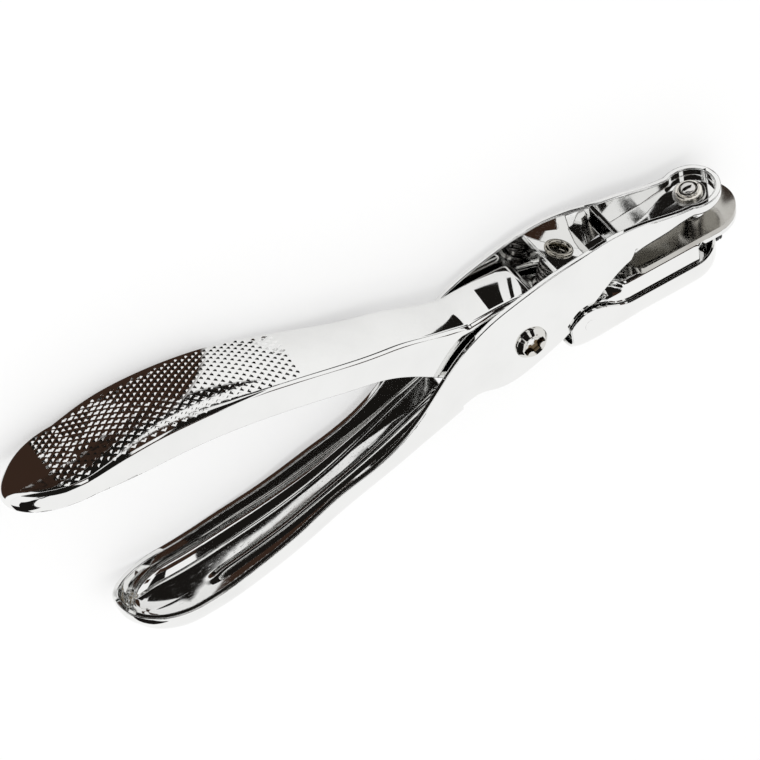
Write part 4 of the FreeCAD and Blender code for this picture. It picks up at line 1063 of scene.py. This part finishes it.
# %% [markdown]
# ## Finishes
# Most of this tool is nickel and chrome plate, so its look is mostly what it mirrors. Perfect mirrors look
# like computer graphics, so one shared node group adds what hands and a workbench leave behind: clouds of
# dullness where it is held, and fine hair lines. It is built once and each material gives it its own
# values. A second group finds edges, where plate wears first.


# %% Shared groups: handling marks and worn edges
def new_group(name, inputs, outputs):
    group = bpy.data.node_groups.new(name, "ShaderNodeTree")
    for label, kind, default in inputs:
        socket = group.interface.new_socket(name=label, in_out="INPUT", socket_type=kind)
        if default is not None:
            socket.default_value = default
    for label, kind in outputs:
        group.interface.new_socket(name=label, in_out="OUTPUT", socket_type=kind)
    return group, group.nodes.new("NodeGroupInput"), group.nodes.new("NodeGroupOutput")


def feed(tree, socket, value):
    """Sets a socket to a number or a colour, or links it to another node's output."""
    if isinstance(value, (int, float)):
        socket.default_value = value
    elif isinstance(value, tuple):
        socket.default_value = (*value, 1.0)
    else:
        tree.links.new(value, socket)


def math_node(tree, operation, a, b, clamp=False):
    node = tree.nodes.new("ShaderNodeMath")
    node.operation = operation
    node.use_clamp = clamp
    for socket, value in zip(node.inputs, (a, b)):
        feed(tree, socket, value)
    return node.outputs[0]


def map_node(tree, value, low, high, to_low, to_high):
    node = tree.nodes.new("ShaderNodeMapRange")
    for socket, item in zip(node.inputs, (value, low, high, to_low, to_high)):
        feed(tree, socket, item)
    return node.outputs[0]


def noise_node(tree, vector, scale, detail=3.0, roughness=0.5):
    node = tree.nodes.new("ShaderNodeTexNoise")
    tree.links.new(vector, node.inputs["Vector"])
    for label, value in (("Scale", scale), ("Detail", detail), ("Roughness", roughness)):
        feed(tree, node.inputs[label], value)
    return node.outputs[0]


def stretched(tree, vector, scale, turn=(0, 0, 0)):
    node = tree.nodes.new("ShaderNodeMapping")
    tree.links.new(vector, node.inputs["Vector"])
    node.inputs["Scale"].default_value = scale
    node.inputs["Rotation"].default_value = turn
    return node.outputs[0]


def handling_marks_group():
    """Dull clouds and hair lines: roughness, height and tone."""
    group, start, end = new_group(
        "handling_marks",
        [("Vector", "NodeSocketVector", None), ("Cloud scale", "NodeSocketFloat", 90.0),
         ("Clean", "NodeSocketFloat", 0.03), ("Dull", "NodeSocketFloat", 0.1),
         ("Hair lines", "NodeSocketFloat", 0.4)],
        [("Roughness", "NodeSocketFloat"), ("Height", "NodeSocketFloat"), ("Tone", "NodeSocketFloat")])
    place = start.outputs["Vector"]
    clouds = noise_node(group, place, start.outputs["Cloud scale"], 4.0, 0.55)
    dull = map_node(group, clouds, 0.42, 0.72, 0.0, 1.0)
    lines = noise_node(group, stretched(group, place, (260, 5200, 5200), (0.1, 0.2, 0.35)), 1.0, 2.0)
    more = noise_node(group, stretched(group, place, (4200, 300, 4200), (0.3, 0.1, -0.4)), 1.0, 2.0)
    hair = math_node(group, "MAXIMUM", map_node(group, lines, 0.66, 0.74, 0.0, 1.0),
                     map_node(group, more, 0.68, 0.76, 0.0, 1.0))
    hair = math_node(group, "MULTIPLY", hair, start.outputs["Hair lines"])
    rough = map_node(group, math_node(group, "ADD", dull, math_node(group, "MULTIPLY", hair, 0.5)),
                     0.0, 1.0, start.outputs["Clean"], start.outputs["Dull"])
    waves = noise_node(group, place, 240.0, 2.0)
    height = math_node(group, "SUBTRACT", waves, math_node(group, "MULTIPLY", hair, 0.35))
    group.links.new(rough, end.inputs["Roughness"])
    group.links.new(height, end.inputs["Height"])
    group.links.new(dull, end.inputs["Tone"])
    return group


def worn_edges_group():
    """A mask of the convex edges, broken up so that the wear isn't even."""
    group, start, end = new_group(
        "worn_edges", [("Vector", "NodeSocketVector", None), ("Reach", "NodeSocketFloat", 0.56)],
        [("Mask", "NodeSocketFloat")])
    shape = group.nodes.new("ShaderNodeNewGeometry")
    convex = map_node(group, shape.outputs["Pointiness"], start.outputs["Reach"],
                      math_node(group, "ADD", start.outputs["Reach"], 0.05), 0.0, 1.0)
    chips = noise_node(group, start.outputs["Vector"], 1400.0, 4.0, 0.6)
    mask = math_node(group, "MULTIPLY", convex, map_node(group, chips, 0.52, 0.7, 0.0, 1.0), True)
    group.links.new(mask, end.inputs["Mask"])
    return group


HANDLING_MARKS = handling_marks_group()
WORN_EDGES = worn_edges_group()
print("nodes in the shared groups:", len(HANDLING_MARKS.nodes), "and", len(WORN_EDGES.nodes))

# %% [markdown]
# A finish is the same recipe each time: colour, shine and the shared marks. The function below builds one
# plated or bare metal. Its numbers are what changes from piece to piece. Deep inside the well round the
# pivot the inside finishes also get painted shade: a mask from the piece's own coordinates turns their
# colour brown-black there. The screw's recess gets painted shade of the same kind from a mask of its own.


# %% Metal finishes
def new_finish(name):
    material = bpy.data.materials.new(name)
    material.use_nodes = True
    tree = material.node_tree
    tree.nodes.clear()
    surface = tree.nodes.new("ShaderNodeBsdfPrincipled")
    output = tree.nodes.new("ShaderNodeOutputMaterial")
    tree.links.new(surface.outputs[0], output.inputs["Surface"])
    place = tree.nodes.new("ShaderNodeTexCoord").outputs["Object"]
    return material, tree, surface, place


def mix_colour(tree, share, first, second):
    node = tree.nodes.new("ShaderNodeMix")
    node.data_type = "RGBA"
    sockets = (node.inputs["Factor"], node.inputs[6], node.inputs[7])
    for socket, value in zip(sockets, (share, first, second)):
        feed(tree, socket, value)
    return node.outputs[2]


def use_group(tree, group, place, **values):
    node = tree.nodes.new("ShaderNodeGroup")
    node.node_tree = group
    tree.links.new(place, node.inputs["Vector"])
    for label, value in values.items():
        node.inputs[label.replace("_", " ").capitalize()].default_value = value
    return node


def axes_of(tree, place):
    split = tree.nodes.new("ShaderNodeSeparateXYZ")
    tree.links.new(place, split.inputs[0])
    return split.outputs


def painted_well_shade(tree, place, rear, front, top):
    """Painted shade: 1 deep inside the well round the pivot, fading to 0 at its ends and its mouth (mm)."""
    axes = axes_of(tree, place)
    ahead = map_node(tree, axes["X"], rear * MM, (rear + 5) * MM, 0.0, 1.0)
    behind = map_node(tree, axes["X"], (front - 1.5) * MM, front * MM, 1.0, 0.0)
    below = map_node(tree, axes["Y"], (top - 4) * MM, top * MM, 1.0, 0.35)
    return math_node(tree, "MULTIPLY", math_node(tree, "MULTIPLY", ahead, behind), below)


def painted_recess_shade(tree, place, radius, top):
    """1 inside the screw's recess, where shade is painted into the colour (mm)."""
    axes = axes_of(tree, place)
    squares = [math_node(tree, "MULTIPLY", axes[label], axes[label]) for label in ("X", "Y")]
    across = math_node(tree, "ADD", *squares)
    inside = map_node(tree, across, (0.9 * radius * MM) ** 2, (radius * MM) ** 2, 1.0, 0.0)
    below = map_node(tree, axes["Z"], (top - 0.45) * MM, (top - 0.1) * MM, 1.0, 0.0)
    return math_node(tree, "MULTIPLY", inside, below)


def metal(name, colour, dull_colour, clean, dull, bump=0.02, cloud=90.0, hair=0.4, worn=None, well=None,
          recess=None, dark=(0.15, 0.12, 0.10)):
    """One plated or bare metal. Masks paint shade into the well and the recess, and show wear on the edges.
    """
    material, tree, surface, place = new_finish(name)
    marks = use_group(tree, HANDLING_MARKS, place, cloud_scale=cloud, clean=clean, dull=dull,
                      hair_lines=hair)
    paint = mix_colour(tree, marks.outputs["Tone"], colour, dull_colour)
    rough = marks.outputs["Roughness"]
    if worn:
        edge = use_group(tree, WORN_EDGES, place, reach=0.6).outputs["Mask"]
        edge = math_node(tree, "MULTIPLY", edge, 0.5)
        paint = mix_colour(tree, edge, paint, worn)
        rough = math_node(tree, "ADD", rough, math_node(tree, "MULTIPLY", edge, 0.12))
    # painted shade: the colour goes dark towards the inside of the well
    if well:
        paint = mix_colour(tree, painted_well_shade(tree, place, *well), paint, dark)
    # painted shade: the colour goes dark inside the screw's recess
    if recess:
        paint = mix_colour(tree, painted_recess_shade(tree, place, *recess), paint, dark)
    tree.links.new(paint, surface.inputs["Base Color"])
    tree.links.new(rough, surface.inputs["Roughness"])
    surface.inputs["Metallic"].default_value = 1.0
    relief = tree.nodes.new("ShaderNodeBump")
    relief.inputs["Strength"].default_value = bump
    relief.inputs["Distance"].default_value = 0.0004
    tree.links.new(marks.outputs["Height"], relief.inputs["Height"])
    tree.links.new(relief.outputs[0], surface.inputs["Normal"])
    return material


CHROME, CHROME_DULL = (0.865, 0.865, 0.855), (0.83, 0.83, 0.82)
NICKEL_UNDER = (0.76, 0.74, 0.69)
lever_plating = metal("lever_chrome", CHROME, CHROME_DULL, 0.025, 0.085, worn=NICKEL_UNDER)
# inside finishes of the two levers: painted shade, brown-black, deep in the well round the pivot
lever_inside_painted_shade = metal("lever_chrome_inside_painted_shade", CHROME, (0.80, 0.79, 0.77), 0.03, 0.08, bump=0.006, hair=0.15,
                     well=(-15.0, 22.0, 14.5))
upper_underside_painted_shade = metal("lever_chrome_underside_painted_shade", CHROME, (0.80, 0.79, 0.77), 0.03, 0.08, bump=0.006, hair=0.15,
                     well=(-9.0, 18.0, 12.0))
tray_plating = metal("tray_chrome", CHROME, CHROME_DULL, 0.04, 0.12, worn=NICKEL_UNDER)
tray_inside = metal("tray_chrome_inside", CHROME, (0.72, 0.71, 0.69), 0.05, 0.16)
die_steel = metal("die_steel", (0.56, 0.55, 0.52), (0.45, 0.43, 0.40), 0.08, 0.2, bump=0.05, hair=1.0)
rivet_steel = metal("rivet_steel", (0.72, 0.71, 0.69), (0.6, 0.59, 0.57), 0.10, 0.25)
# the screw's finish paints shade, dark brown, into its cross recess
screw_nickel = metal("screw_nickel", (0.70, 0.69, 0.66), (0.60, 0.58, 0.54), 0.05, 0.15,
                     recess=(2.5, SCREW_FACE + SCREW_DISH - 0.04), dark=(0.13, 0.095, 0.055))
bush_brass = metal("bush_brass", (0.40, 0.33, 0.23), (0.28, 0.22, 0.15), 0.25, 0.45)
washer_steel = metal("washer_steel", (0.66, 0.65, 0.63), (0.52, 0.51, 0.49), 0.12, 0.3)
punch_steel = metal("punch_steel", (0.7, 0.69, 0.67), (0.58, 0.57, 0.55), 0.08, 0.2)
collar_steel = metal("collar_steel", (0.82, 0.80, 0.75), (0.68, 0.64, 0.57), 0.05, 0.16, worn=CHROME)
spring_steel = metal("spring_steel", (0.22, 0.21, 0.20), (0.13, 0.12, 0.12), 0.15, 0.35)
eyelet_nickel = metal("eyelet_nickel", (0.50, 0.48, 0.43), (0.36, 0.33, 0.28), 0.07, 0.2)
print("finishes so far:", len(bpy.data.materials))

# %% [markdown]
# The knob at the tray's tip is moulded plastic, the only piece that isn't metal. Plastic has a soft sheen,
# fine dimples from its mould, and grey scuffs on its ridges.

# %% Moulded plastic finish
def moulded_black():
    material, tree, surface, place = new_finish("knob_black")
    marks = use_group(tree, HANDLING_MARKS, place, cloud_scale=700.0, clean=0.28, dull=0.45, hair_lines=0.6)
    edge = use_group(tree, WORN_EDGES, place, reach=0.55).outputs["Mask"]
    paint = mix_colour(tree, marks.outputs["Tone"], (0.012, 0.012, 0.013), (0.03, 0.03, 0.031))
    paint = mix_colour(tree, math_node(tree, "MULTIPLY", edge, 0.6), paint, (0.12, 0.12, 0.12))
    tree.links.new(paint, surface.inputs["Base Color"])
    tree.links.new(marks.outputs["Roughness"], surface.inputs["Roughness"])
    dimples = noise_node(tree, place, 5000.0, 2.0)
    relief = tree.nodes.new("ShaderNodeBump")
    relief.inputs["Strength"].default_value = 0.25
    relief.inputs["Distance"].default_value = 0.00005
    tree.links.new(dimples, relief.inputs["Height"])
    tree.links.new(relief.outputs[0], surface.inputs["Normal"])
    return material


knob_black = moulded_black()
print("finishes with the knob's:", len(bpy.data.materials))

# %% [markdown]
# The grip is raised only now, because its tree also gives it its finish. It is the same plating as the
# lever's, so the diamonds look pressed out of the web and not stuck on.

# %% Knurling as one mesh
knurl = piece_from("knurled_grip", knurl_bed())
tree, names = knurl_tree()
raised = knurl.modifiers.new("knurling", "NODES")
raised.node_group = tree
set_input(raised, names["height"], 0.30 * MM)
set_input(raised, names["top"], 0.35)
set_input(raised, names["finish"], lever_plating)
cells = len(knurl.data.polygons)
settle(knurl)
print("knurled grip:", cells, "diamonds, box, mm:", size_of(knurl))

# %% [markdown]
# ## Return spring
# The coil spring that opens the levers stands on its seat and presses against the bridge. A spiral curve
# in Geometry Nodes, with a small circle carried along it, is a spring whose turns and wire can be changed
# as numbers. A stack of rings would be easier, but it wouldn't be one wire.

# %% The spring's node tree
WIRE, COIL_RADIUS, COIL_TURNS = 0.42, 2.75, 5.0
SEAT_FLANGE, COIL_GAP, SEAT_LEAN = 0.4, 0.12, 0.05
SPRING_LIFT = SEAT_FLANGE + COIL_GAP + WIRE + SEAT_LEAN
SPRING_LENGTH = SPRING_ROOM - SPRING_LIFT - COIL_GAP - WIRE


def spring_tree():
    tree = bpy.data.node_groups.new("coil_spring", "GeometryNodeTree")
    names = {
        "start": add_input(tree, "Start", "NodeSocketGeometry"),
        "turns": add_input(tree, "Turns", "NodeSocketFloat", 5.0),
        "radius": add_input(tree, "Coil radius", "NodeSocketFloat", 0.00275),
        "height": add_input(tree, "Height", "NodeSocketFloat", 0.006),
        "wire": add_input(tree, "Wire radius", "NodeSocketFloat", 0.0004),
        "foot": add_input(tree, "Foot", "NodeSocketVector"),
        "lean": add_input(tree, "Lean", "NodeSocketVector"),
        "finish": add_input(tree, "Finish", "NodeSocketMaterial"),
    }
    tree.interface.new_socket(name="Spring", in_out="OUTPUT", socket_type="NodeSocketGeometry")
    add = tree.nodes.new
    start, end = add("NodeGroupInput"), add("NodeGroupOutput")
    spiral = add("GeometryNodeCurveSpiral")
    spiral.inputs["Resolution"].default_value = 36
    ring = add("GeometryNodeCurvePrimitiveCircle")
    ring.inputs["Resolution"].default_value = 14
    wire = add("GeometryNodeCurveToMesh")
    wire.inputs["Fill Caps"].default_value = True
    place = add("GeometryNodeTransform")
    smooth = add("GeometryNodeSetShadeSmooth")
    whole = add("GeometryNodeRealizeInstances")
    dress = add("GeometryNodeSetMaterial")
    link_up(tree, [
        (start, "Turns", spiral, "Rotations"), (start, "Coil radius", spiral, "Start Radius"),
        (start, "Coil radius", spiral, "End Radius"), (start, "Height", spiral, "Height"),
        (start, "Wire radius", ring, "Radius"), (spiral, "Curve", wire, "Curve"),
        (ring, "Curve", wire, "Profile Curve"), (wire, "Mesh", place, "Geometry"),
        (start, "Foot", place, "Translation"), (start, "Lean", place, "Rotation"),
        (place, "Geometry", smooth, "Geometry"), (smooth, "Geometry", whole, "Geometry"),
        (whole, "Geometry", dress, "Geometry"), (start, "Finish", dress, "Material"),
        (dress, "Geometry", end, "Spring"),
    ])
    return tree, names


spring_base = (SPRING_FOOT + BRIDGE_UP * SPRING_LIFT) * MM
spring_lean = Vector((0, 0, 1)).rotation_difference(BRIDGE_UP).to_euler()
return_spring = piece_from("return_spring_coil", ([(0.0, 0.0, 0.0)], []))
tree, names = spring_tree()
coil = return_spring.modifiers.new("coil", "NODES")
coil.node_group = tree
for key, value in (("turns", COIL_TURNS), ("radius", COIL_RADIUS * MM), ("height", SPRING_LENGTH * MM),
                   ("wire", WIRE * MM), ("foot", tuple(spring_base)), ("lean", tuple(spring_lean)),
                   ("finish", spring_steel)):
    set_input(coil, names[key], value)
settle(return_spring)
print("return spring, mm:", size_of(return_spring))

# %% [markdown]
# ## Onto the bodies
# Each finished piece rides on one moving body and stands for its CAD node. After this the frame can open
# and close the levers and every piece but the return spring follows: the spring is fixed where it was made
# and rides on no body.

# %% Materials, bodies and slots
FINISHES = {
    "screw_nickel": screw_nickel, "washer_steel": washer_steel, "bush_brass": bush_brass,
    "punch_steel": punch_steel, "collar_steel": collar_steel, "eyelet_nickel": eyelet_nickel,
    "rivet_steel": rivet_steel, "knob_black": knob_black,
}


def mount(piece, body, slot, nodes, *finishes):
    if finishes:
        piece.data.materials.clear()
        for finish in finishes:
            piece.data.materials.append(finish)
    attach(piece, body)
    if nodes:
        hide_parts(*nodes)


mount(lower_lever, LOWER, "lever_chrome", ["lower_lever"], lever_plating, lever_inside_painted_shade)
mount(upper_lever, UPPER, "lever_chrome", ["upper_lever"], lever_plating, upper_underside_painted_shade)
mount(knurl, UPPER, "lever_chrome", [])
mount(chip_tray, TRAY_BODY, "tray_chrome", ["chip_tray"], tray_plating, tray_inside)
mount(die_plate, UPPER, "die_steel", ["die_plate"], die_steel)
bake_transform(return_spring)
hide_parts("return_spring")
for name, (piece, body, slot) in turned_pieces.items():
    plated = name.startswith("tray_rivet")
    mount(piece, body, slot, [name], tray_plating if plated else FINISHES[slot])

# %% [markdown]
# ## Floor and white surroundings
# A mirror shows its surroundings, so this studio is built for reflections. The floor is plain and pale and
# the air around is white. More light would make the floor whiter, but it would also burn out the metal. So
# half of what the camera and the mirrors see of the floor is white of its own, and the other half is lit
# in the usual way and keeps the shadow.


# %% Floor and white surroundings
def seen_or_mirrored(tree):
    """1 for rays from the camera, from mirrors and through glass, 0 for light that falls on things."""
    ray = tree.nodes.new("ShaderNodeLightPath")
    bent = math_node(tree, "MAXIMUM", ray.outputs["Is Glossy Ray"], ray.outputs["Is Transmission Ray"])
    return math_node(tree, "MAXIMUM", ray.outputs["Is Camera Ray"], bent)


def plain_surface(name, colour, own_white):
    """A matt floor. Part of it is plain white to the camera and to mirrors, so its shadows stay soft."""
    material, tree, surface, place = new_finish(name)
    grain = noise_node(tree, place, 3.0, 2.0)
    tint = tuple(0.985 * c for c in colour)
    tree.links.new(mix_colour(tree, grain, colour, tint), surface.inputs["Base Color"])
    surface.inputs["Roughness"].default_value = 0.9
    surface.inputs["Specular IOR Level"].default_value = 0.0
    white = tree.nodes.new("ShaderNodeEmission")
    white.inputs["Strength"].default_value = 1.0
    mix = tree.nodes.new("ShaderNodeMixShader")
    tree.links.new(math_node(tree, "MULTIPLY", seen_or_mirrored(tree), own_white), mix.inputs["Fac"])
    tree.links.new(surface.outputs[0], mix.inputs[1])
    tree.links.new(white.outputs[0], mix.inputs[2])
    tree.links.new(mix.outputs[0], tree.nodes["Material Output"].inputs["Surface"])
    return material


def flat_card(name, corners, material):
    data = bpy.data.meshes.new(name)
    data.from_pydata([tuple(c * MM for c in corner) for corner in corners], [], [[0, 1, 2, 3]])
    data.materials.append(material)
    card = bpy.data.objects.new(name, data)
    bpy.context.scene.collection.objects.link(card)


FLOOR_HALF, FLOOR_HEIGHT = 2500, -0.02
OWN_WHITE = 0.5
pale_floor = plain_surface("pale_floor", (0.93, 0.93, 0.925), OWN_WHITE)
flat_card("floor", [(x * FLOOR_HALF, y * FLOOR_HALF, FLOOR_HEIGHT)
                    for x, y in ((-1, -1), (1, -1), (1, 1), (-1, 1))], pale_floor)

world = bpy.data.worlds.new("white_surroundings")
bpy.context.scene.world = world
world.use_nodes = True
sky = world.node_tree
sky.nodes.clear()
ROOM_LIGHT, WHITE_SEEN = 0.86, 1.0
level = map_node(sky, seen_or_mirrored(sky), 0.0, 1.0, ROOM_LIGHT, WHITE_SEEN)
air = sky.nodes.new("ShaderNodeBackground")
air.inputs["Color"].default_value = (1.0, 1.0, 1.0, 1.0)
sky.links.new(level, air.inputs["Strength"])
sky.links.new(air.outputs[0], sky.nodes.new("ShaderNodeOutputWorld").inputs["Surface"])
print("room light:", ROOM_LIGHT)

# %% [markdown]
# ## Dark cards
# In an all-white room bright plating looks like white paper. A studio puts black flags round polished
# metal, and so does this one: only mirrors see these cards, and they draw the dark lines and streaks that
# give the metal its shape. Standing cards are patches of a wide dome, given by bearing and height. Lying
# cards float just over the floor, because hollow and low faces mirror the floor close by.


# %% Dark cards that only mirrors see
def dark_card_paint(name, colour, soft):
    """Dark paint that fades out towards the card's border, so that reflections have soft ends."""
    material = bpy.data.materials.new(name)
    material.use_nodes = True
    tree = material.node_tree
    tree.nodes.clear()
    axes = axes_of(tree, tree.nodes.new("ShaderNodeTexCoord").outputs["UV"])
    cover = None
    for axis in ("X", "Y"):
        near = math_node(tree, "DIVIDE", axes[axis], soft, clamp=True)
        far = math_node(tree, "SUBTRACT", 1.0, axes[axis])
        edge = math_node(tree, "MULTIPLY", near, math_node(tree, "DIVIDE", far, soft, clamp=True))
        cover = edge if cover is None else math_node(tree, "MULTIPLY", cover, edge)
    glow = tree.nodes.new("ShaderNodeEmission")
    glow.inputs["Color"].default_value = (*colour, 1.0)
    mix = tree.nodes.new("ShaderNodeMixShader")
    tree.links.new(cover, mix.inputs["Fac"])
    tree.links.new(tree.nodes.new("ShaderNodeBsdfTransparent").outputs[0], mix.inputs[1])
    tree.links.new(glow.outputs[0], mix.inputs[2])
    tree.links.new(mix.outputs[0], tree.nodes.new("ShaderNodeOutputMaterial").inputs["Surface"])
    return material


def mirror_card(name, point_at, material, steps=16):
    """A curved card from a function of (u, v), each from 0 to 1. Only mirrors see it."""
    places = [(u / steps, v / steps) for v in range(steps + 1) for u in range(steps + 1)]
    row = steps + 1
    faces = [[v * row + u, v * row + u + 1, (v + 1) * row + u + 1, (v + 1) * row + u]
             for v in range(steps) for u in range(steps)]
    data = bpy.data.meshes.new(name)
    data.from_pydata([point_at(u, v) for u, v in places], [], faces)
    layer = data.uv_layers.new(name="card")
    for loop, corner in zip(data.loops, layer.data):
        corner.uv = places[loop.vertex_index]
    data.materials.append(material)
    card = bpy.data.objects.new(name, data)
    bpy.context.scene.collection.objects.link(card)
    card.visible_camera = card.visible_diffuse = card.visible_shadow = False
    card.visible_transmission = card.visible_volume_scatter = False


CARD_DISTANCE = 3000 * MM
CARD_HEIGHT = -0.01


def standing_card(name, bearings, heights, material):
    """Part of a big dome: bearings from +Y towards +X and heights over the floor, in degrees."""
    def point_at(u, v):
        bearing = math.radians(bearings[0] + (bearings[1] - bearings[0]) * u)
        height = math.radians(heights[0] + (heights[1] - heights[0]) * v)
        flat = CARD_DISTANCE * math.cos(height)
        return (flat * math.sin(bearing), flat * math.cos(bearing), CARD_DISTANCE * math.sin(height))
    mirror_card(name, point_at, material)


def point_along(edge, share):
    """The point a share of the way along a line of points (x, y), in millimetres, just over the floor."""
    k = min(int(share * (len(edge) - 1)), len(edge) - 2)
    part = share * (len(edge) - 1) - k
    here, there = Vector((*edge[k], CARD_HEIGHT)), Vector((*edge[k + 1], CARD_HEIGHT))
    return here.lerp(there, part) * MM


def lying_card(name, near, far, material):
    """A flat card just over the floor, between two edges. Each edge is a line of points (x, y)."""
    def point_at(u, v):
        return tuple(point_along(near, u).lerp(point_along(far, u), v))
    mirror_card(name, point_at, material, steps=36)


black_card = dark_card_paint("black_card", (0.010, 0.009, 0.008), 0.012)
brown_card = dark_card_paint("brown_card", (0.040, 0.022, 0.015), 0.02)
# name, bearings, heights, paint
STANDING = [
    ("handle_card", (-50, -2), (-2, 68), black_card),
    ("slit_foot_card", (-6, 22), (-2, 14), brown_card),
    ("slit_head_card", (-6, 24), (49, 70), brown_card),
    ("second_card", (16.2, 43), (2, 52), black_card),
    ("high_card", (22, 50), (52, 68), brown_card),
    ("well_card", (53, 70), (36, 46.5), brown_card),
    ("spoon_card", (-164, -106), (-2, 24), black_card),
    ("slit_side_card", (-132, -76), (20, 41.5), black_card),
    ("slit_edge_card", (-76, -50), (38.6, 45.2), black_card),
    ("lip_edge_card", (-60, -50), (29, 35), black_card),
]
# name, near edge, far edge, paint
LYING = [
    ("grip_card", [(-135, 24), (-58, 24)], [(-135, 90), (-50, 90)], brown_card),
    ("palm_card",
     [(-90, -16.5), (-80, -15.6), (-76, -15.2), (-69, -12.4), (-64, -10.5), (-58, -8.2), (-52, -7.2),
      (-45, -6.2), (-36, -5.0), (-26, -3.7)],
     [(-90, 24), (-76, 23), (-64, 22), (-52, 20), (-40, 17), (-26, 13)], black_card),
    ("far_card", [(-115, 50), (-25, 50)], [(-230, 420), (-60, 420)], black_card),
    ("finger_card",
     [(-84, -29), (-79, -28), (-74, -27), (-69, -26), (-64, -24), (-58, -23), (-52, -22), (-45, -20),
      (-36, -18), (-22, -16)],
     [(-79, -20.5), (-77, -17.5), (-75, -16.2), (-69, -13.1), (-64, -11.1), (-58, -9.2), (-52, -8.1),
      (-45, -6.9), (-36, -5.8), (-22, -4.3)], brown_card),
    ("hump_card", [(-2.8, 18), (3.9, 18.4)], [(-0.5, 26), (4.5, 26)], black_card),
    ("hump_line_card", [(6.4, 18), (7.6, 18)], [(7, 27), (8.2, 27)], black_card),
    ("rim_card", [(10, 17.4), (36, 17.4)], [(10.5, 22.5), (36, 22.5)], black_card),
    ("well_floor_card", [(10, 17.4), (21, 17.4)], [(10.5, 30), (21.5, 30)], black_card),
    ("window_card", [(25, 17), (31, 17)], [(25, 30), (31, 30)], black_card),
    ("under_card", [(20, -3), (30, -3)], [(20, 9), (30, 9)], black_card),
    ("jaw_floor_card", [(36, 17), (51.5, 17)], [(36, 29), (51.5, 29)], black_card),
    ("nose_card", [(54.5, 9), (61, 9)], [(54.5, 17), (61, 17)], brown_card),
    ("rim_line_card", [(-6, 38), (36, 38)], [(88, 420), (140, 420)], black_card),
]
for name, bearings, heights, paint in STANDING:
    standing_card(name, bearings, heights, paint)
for name, near_edge, far_edge, paint in LYING:
    lying_card(name, near_edge, far_edge, paint)
print("dark cards:", len(STANDING) + len(LYING))

# %% [markdown]
# ## Lamp and camera
# One soft lamp over the tool gives the shadow and stays out of the reflections, where its disc would show
# as a bright spot. The camera stands well back with a long lens, so both ends of the tool keep their true
# proportions. The focal length comes from the scale, so many pixels for each millimetre.

# %% Soft lamp and camera
LAMP_PLACE = Vector((-150, 100, 850)) * MM
lamp_data = bpy.data.lights.new("soft_lamp", "AREA")
lamp_data.shape = "DISK"
lamp_data.size = 0.9
lamp_data.energy = 2.6
lamp = bpy.data.objects.new("soft_lamp", lamp_data)
bpy.context.scene.collection.objects.link(lamp)
lamp.location = LAMP_PLACE
lamp.visible_glossy = False
lamp.rotation_mode = "QUATERNION"
lamp.rotation_quaternion = LAMP_PLACE.to_track_quat("Z", "Y")

CAMERA_RIGHT = Vector((0.853, -0.149, 0.501))
CAMERA_BACK = Vector((-0.241, 0.740, 0.630)).normalized()
CAMERA_AIM = Vector((-28.17, -0.47, 6.04))
CAMERA_DISTANCE = 650
PIXELS_PER_MM, HALF_FRAME = 5.2, 380
HALF_SENSOR = 18
camera_up = CAMERA_BACK.cross(CAMERA_RIGHT).normalized()
camera_right = camera_up.cross(CAMERA_BACK)
turn = Matrix((camera_right, camera_up, CAMERA_BACK)).transposed()
lens = bpy.data.cameras.new("camera")
lens.sensor_width = 2 * HALF_SENSOR
lens.lens = HALF_SENSOR * CAMERA_DISTANCE / (HALF_FRAME / PIXELS_PER_MM)
lens.clip_start = 0.01
camera = bpy.data.objects.new("camera", lens)
bpy.context.scene.collection.objects.link(camera)
camera.matrix_world = Matrix.Translation((CAMERA_AIM + CAMERA_BACK * CAMERA_DISTANCE) * MM) @ turn.to_4x4()
bpy.context.scene.camera = camera
bpy.context.scene.view_settings.view_transform = "Standard"
print("lens, mm:", round(lens.lens, 1))
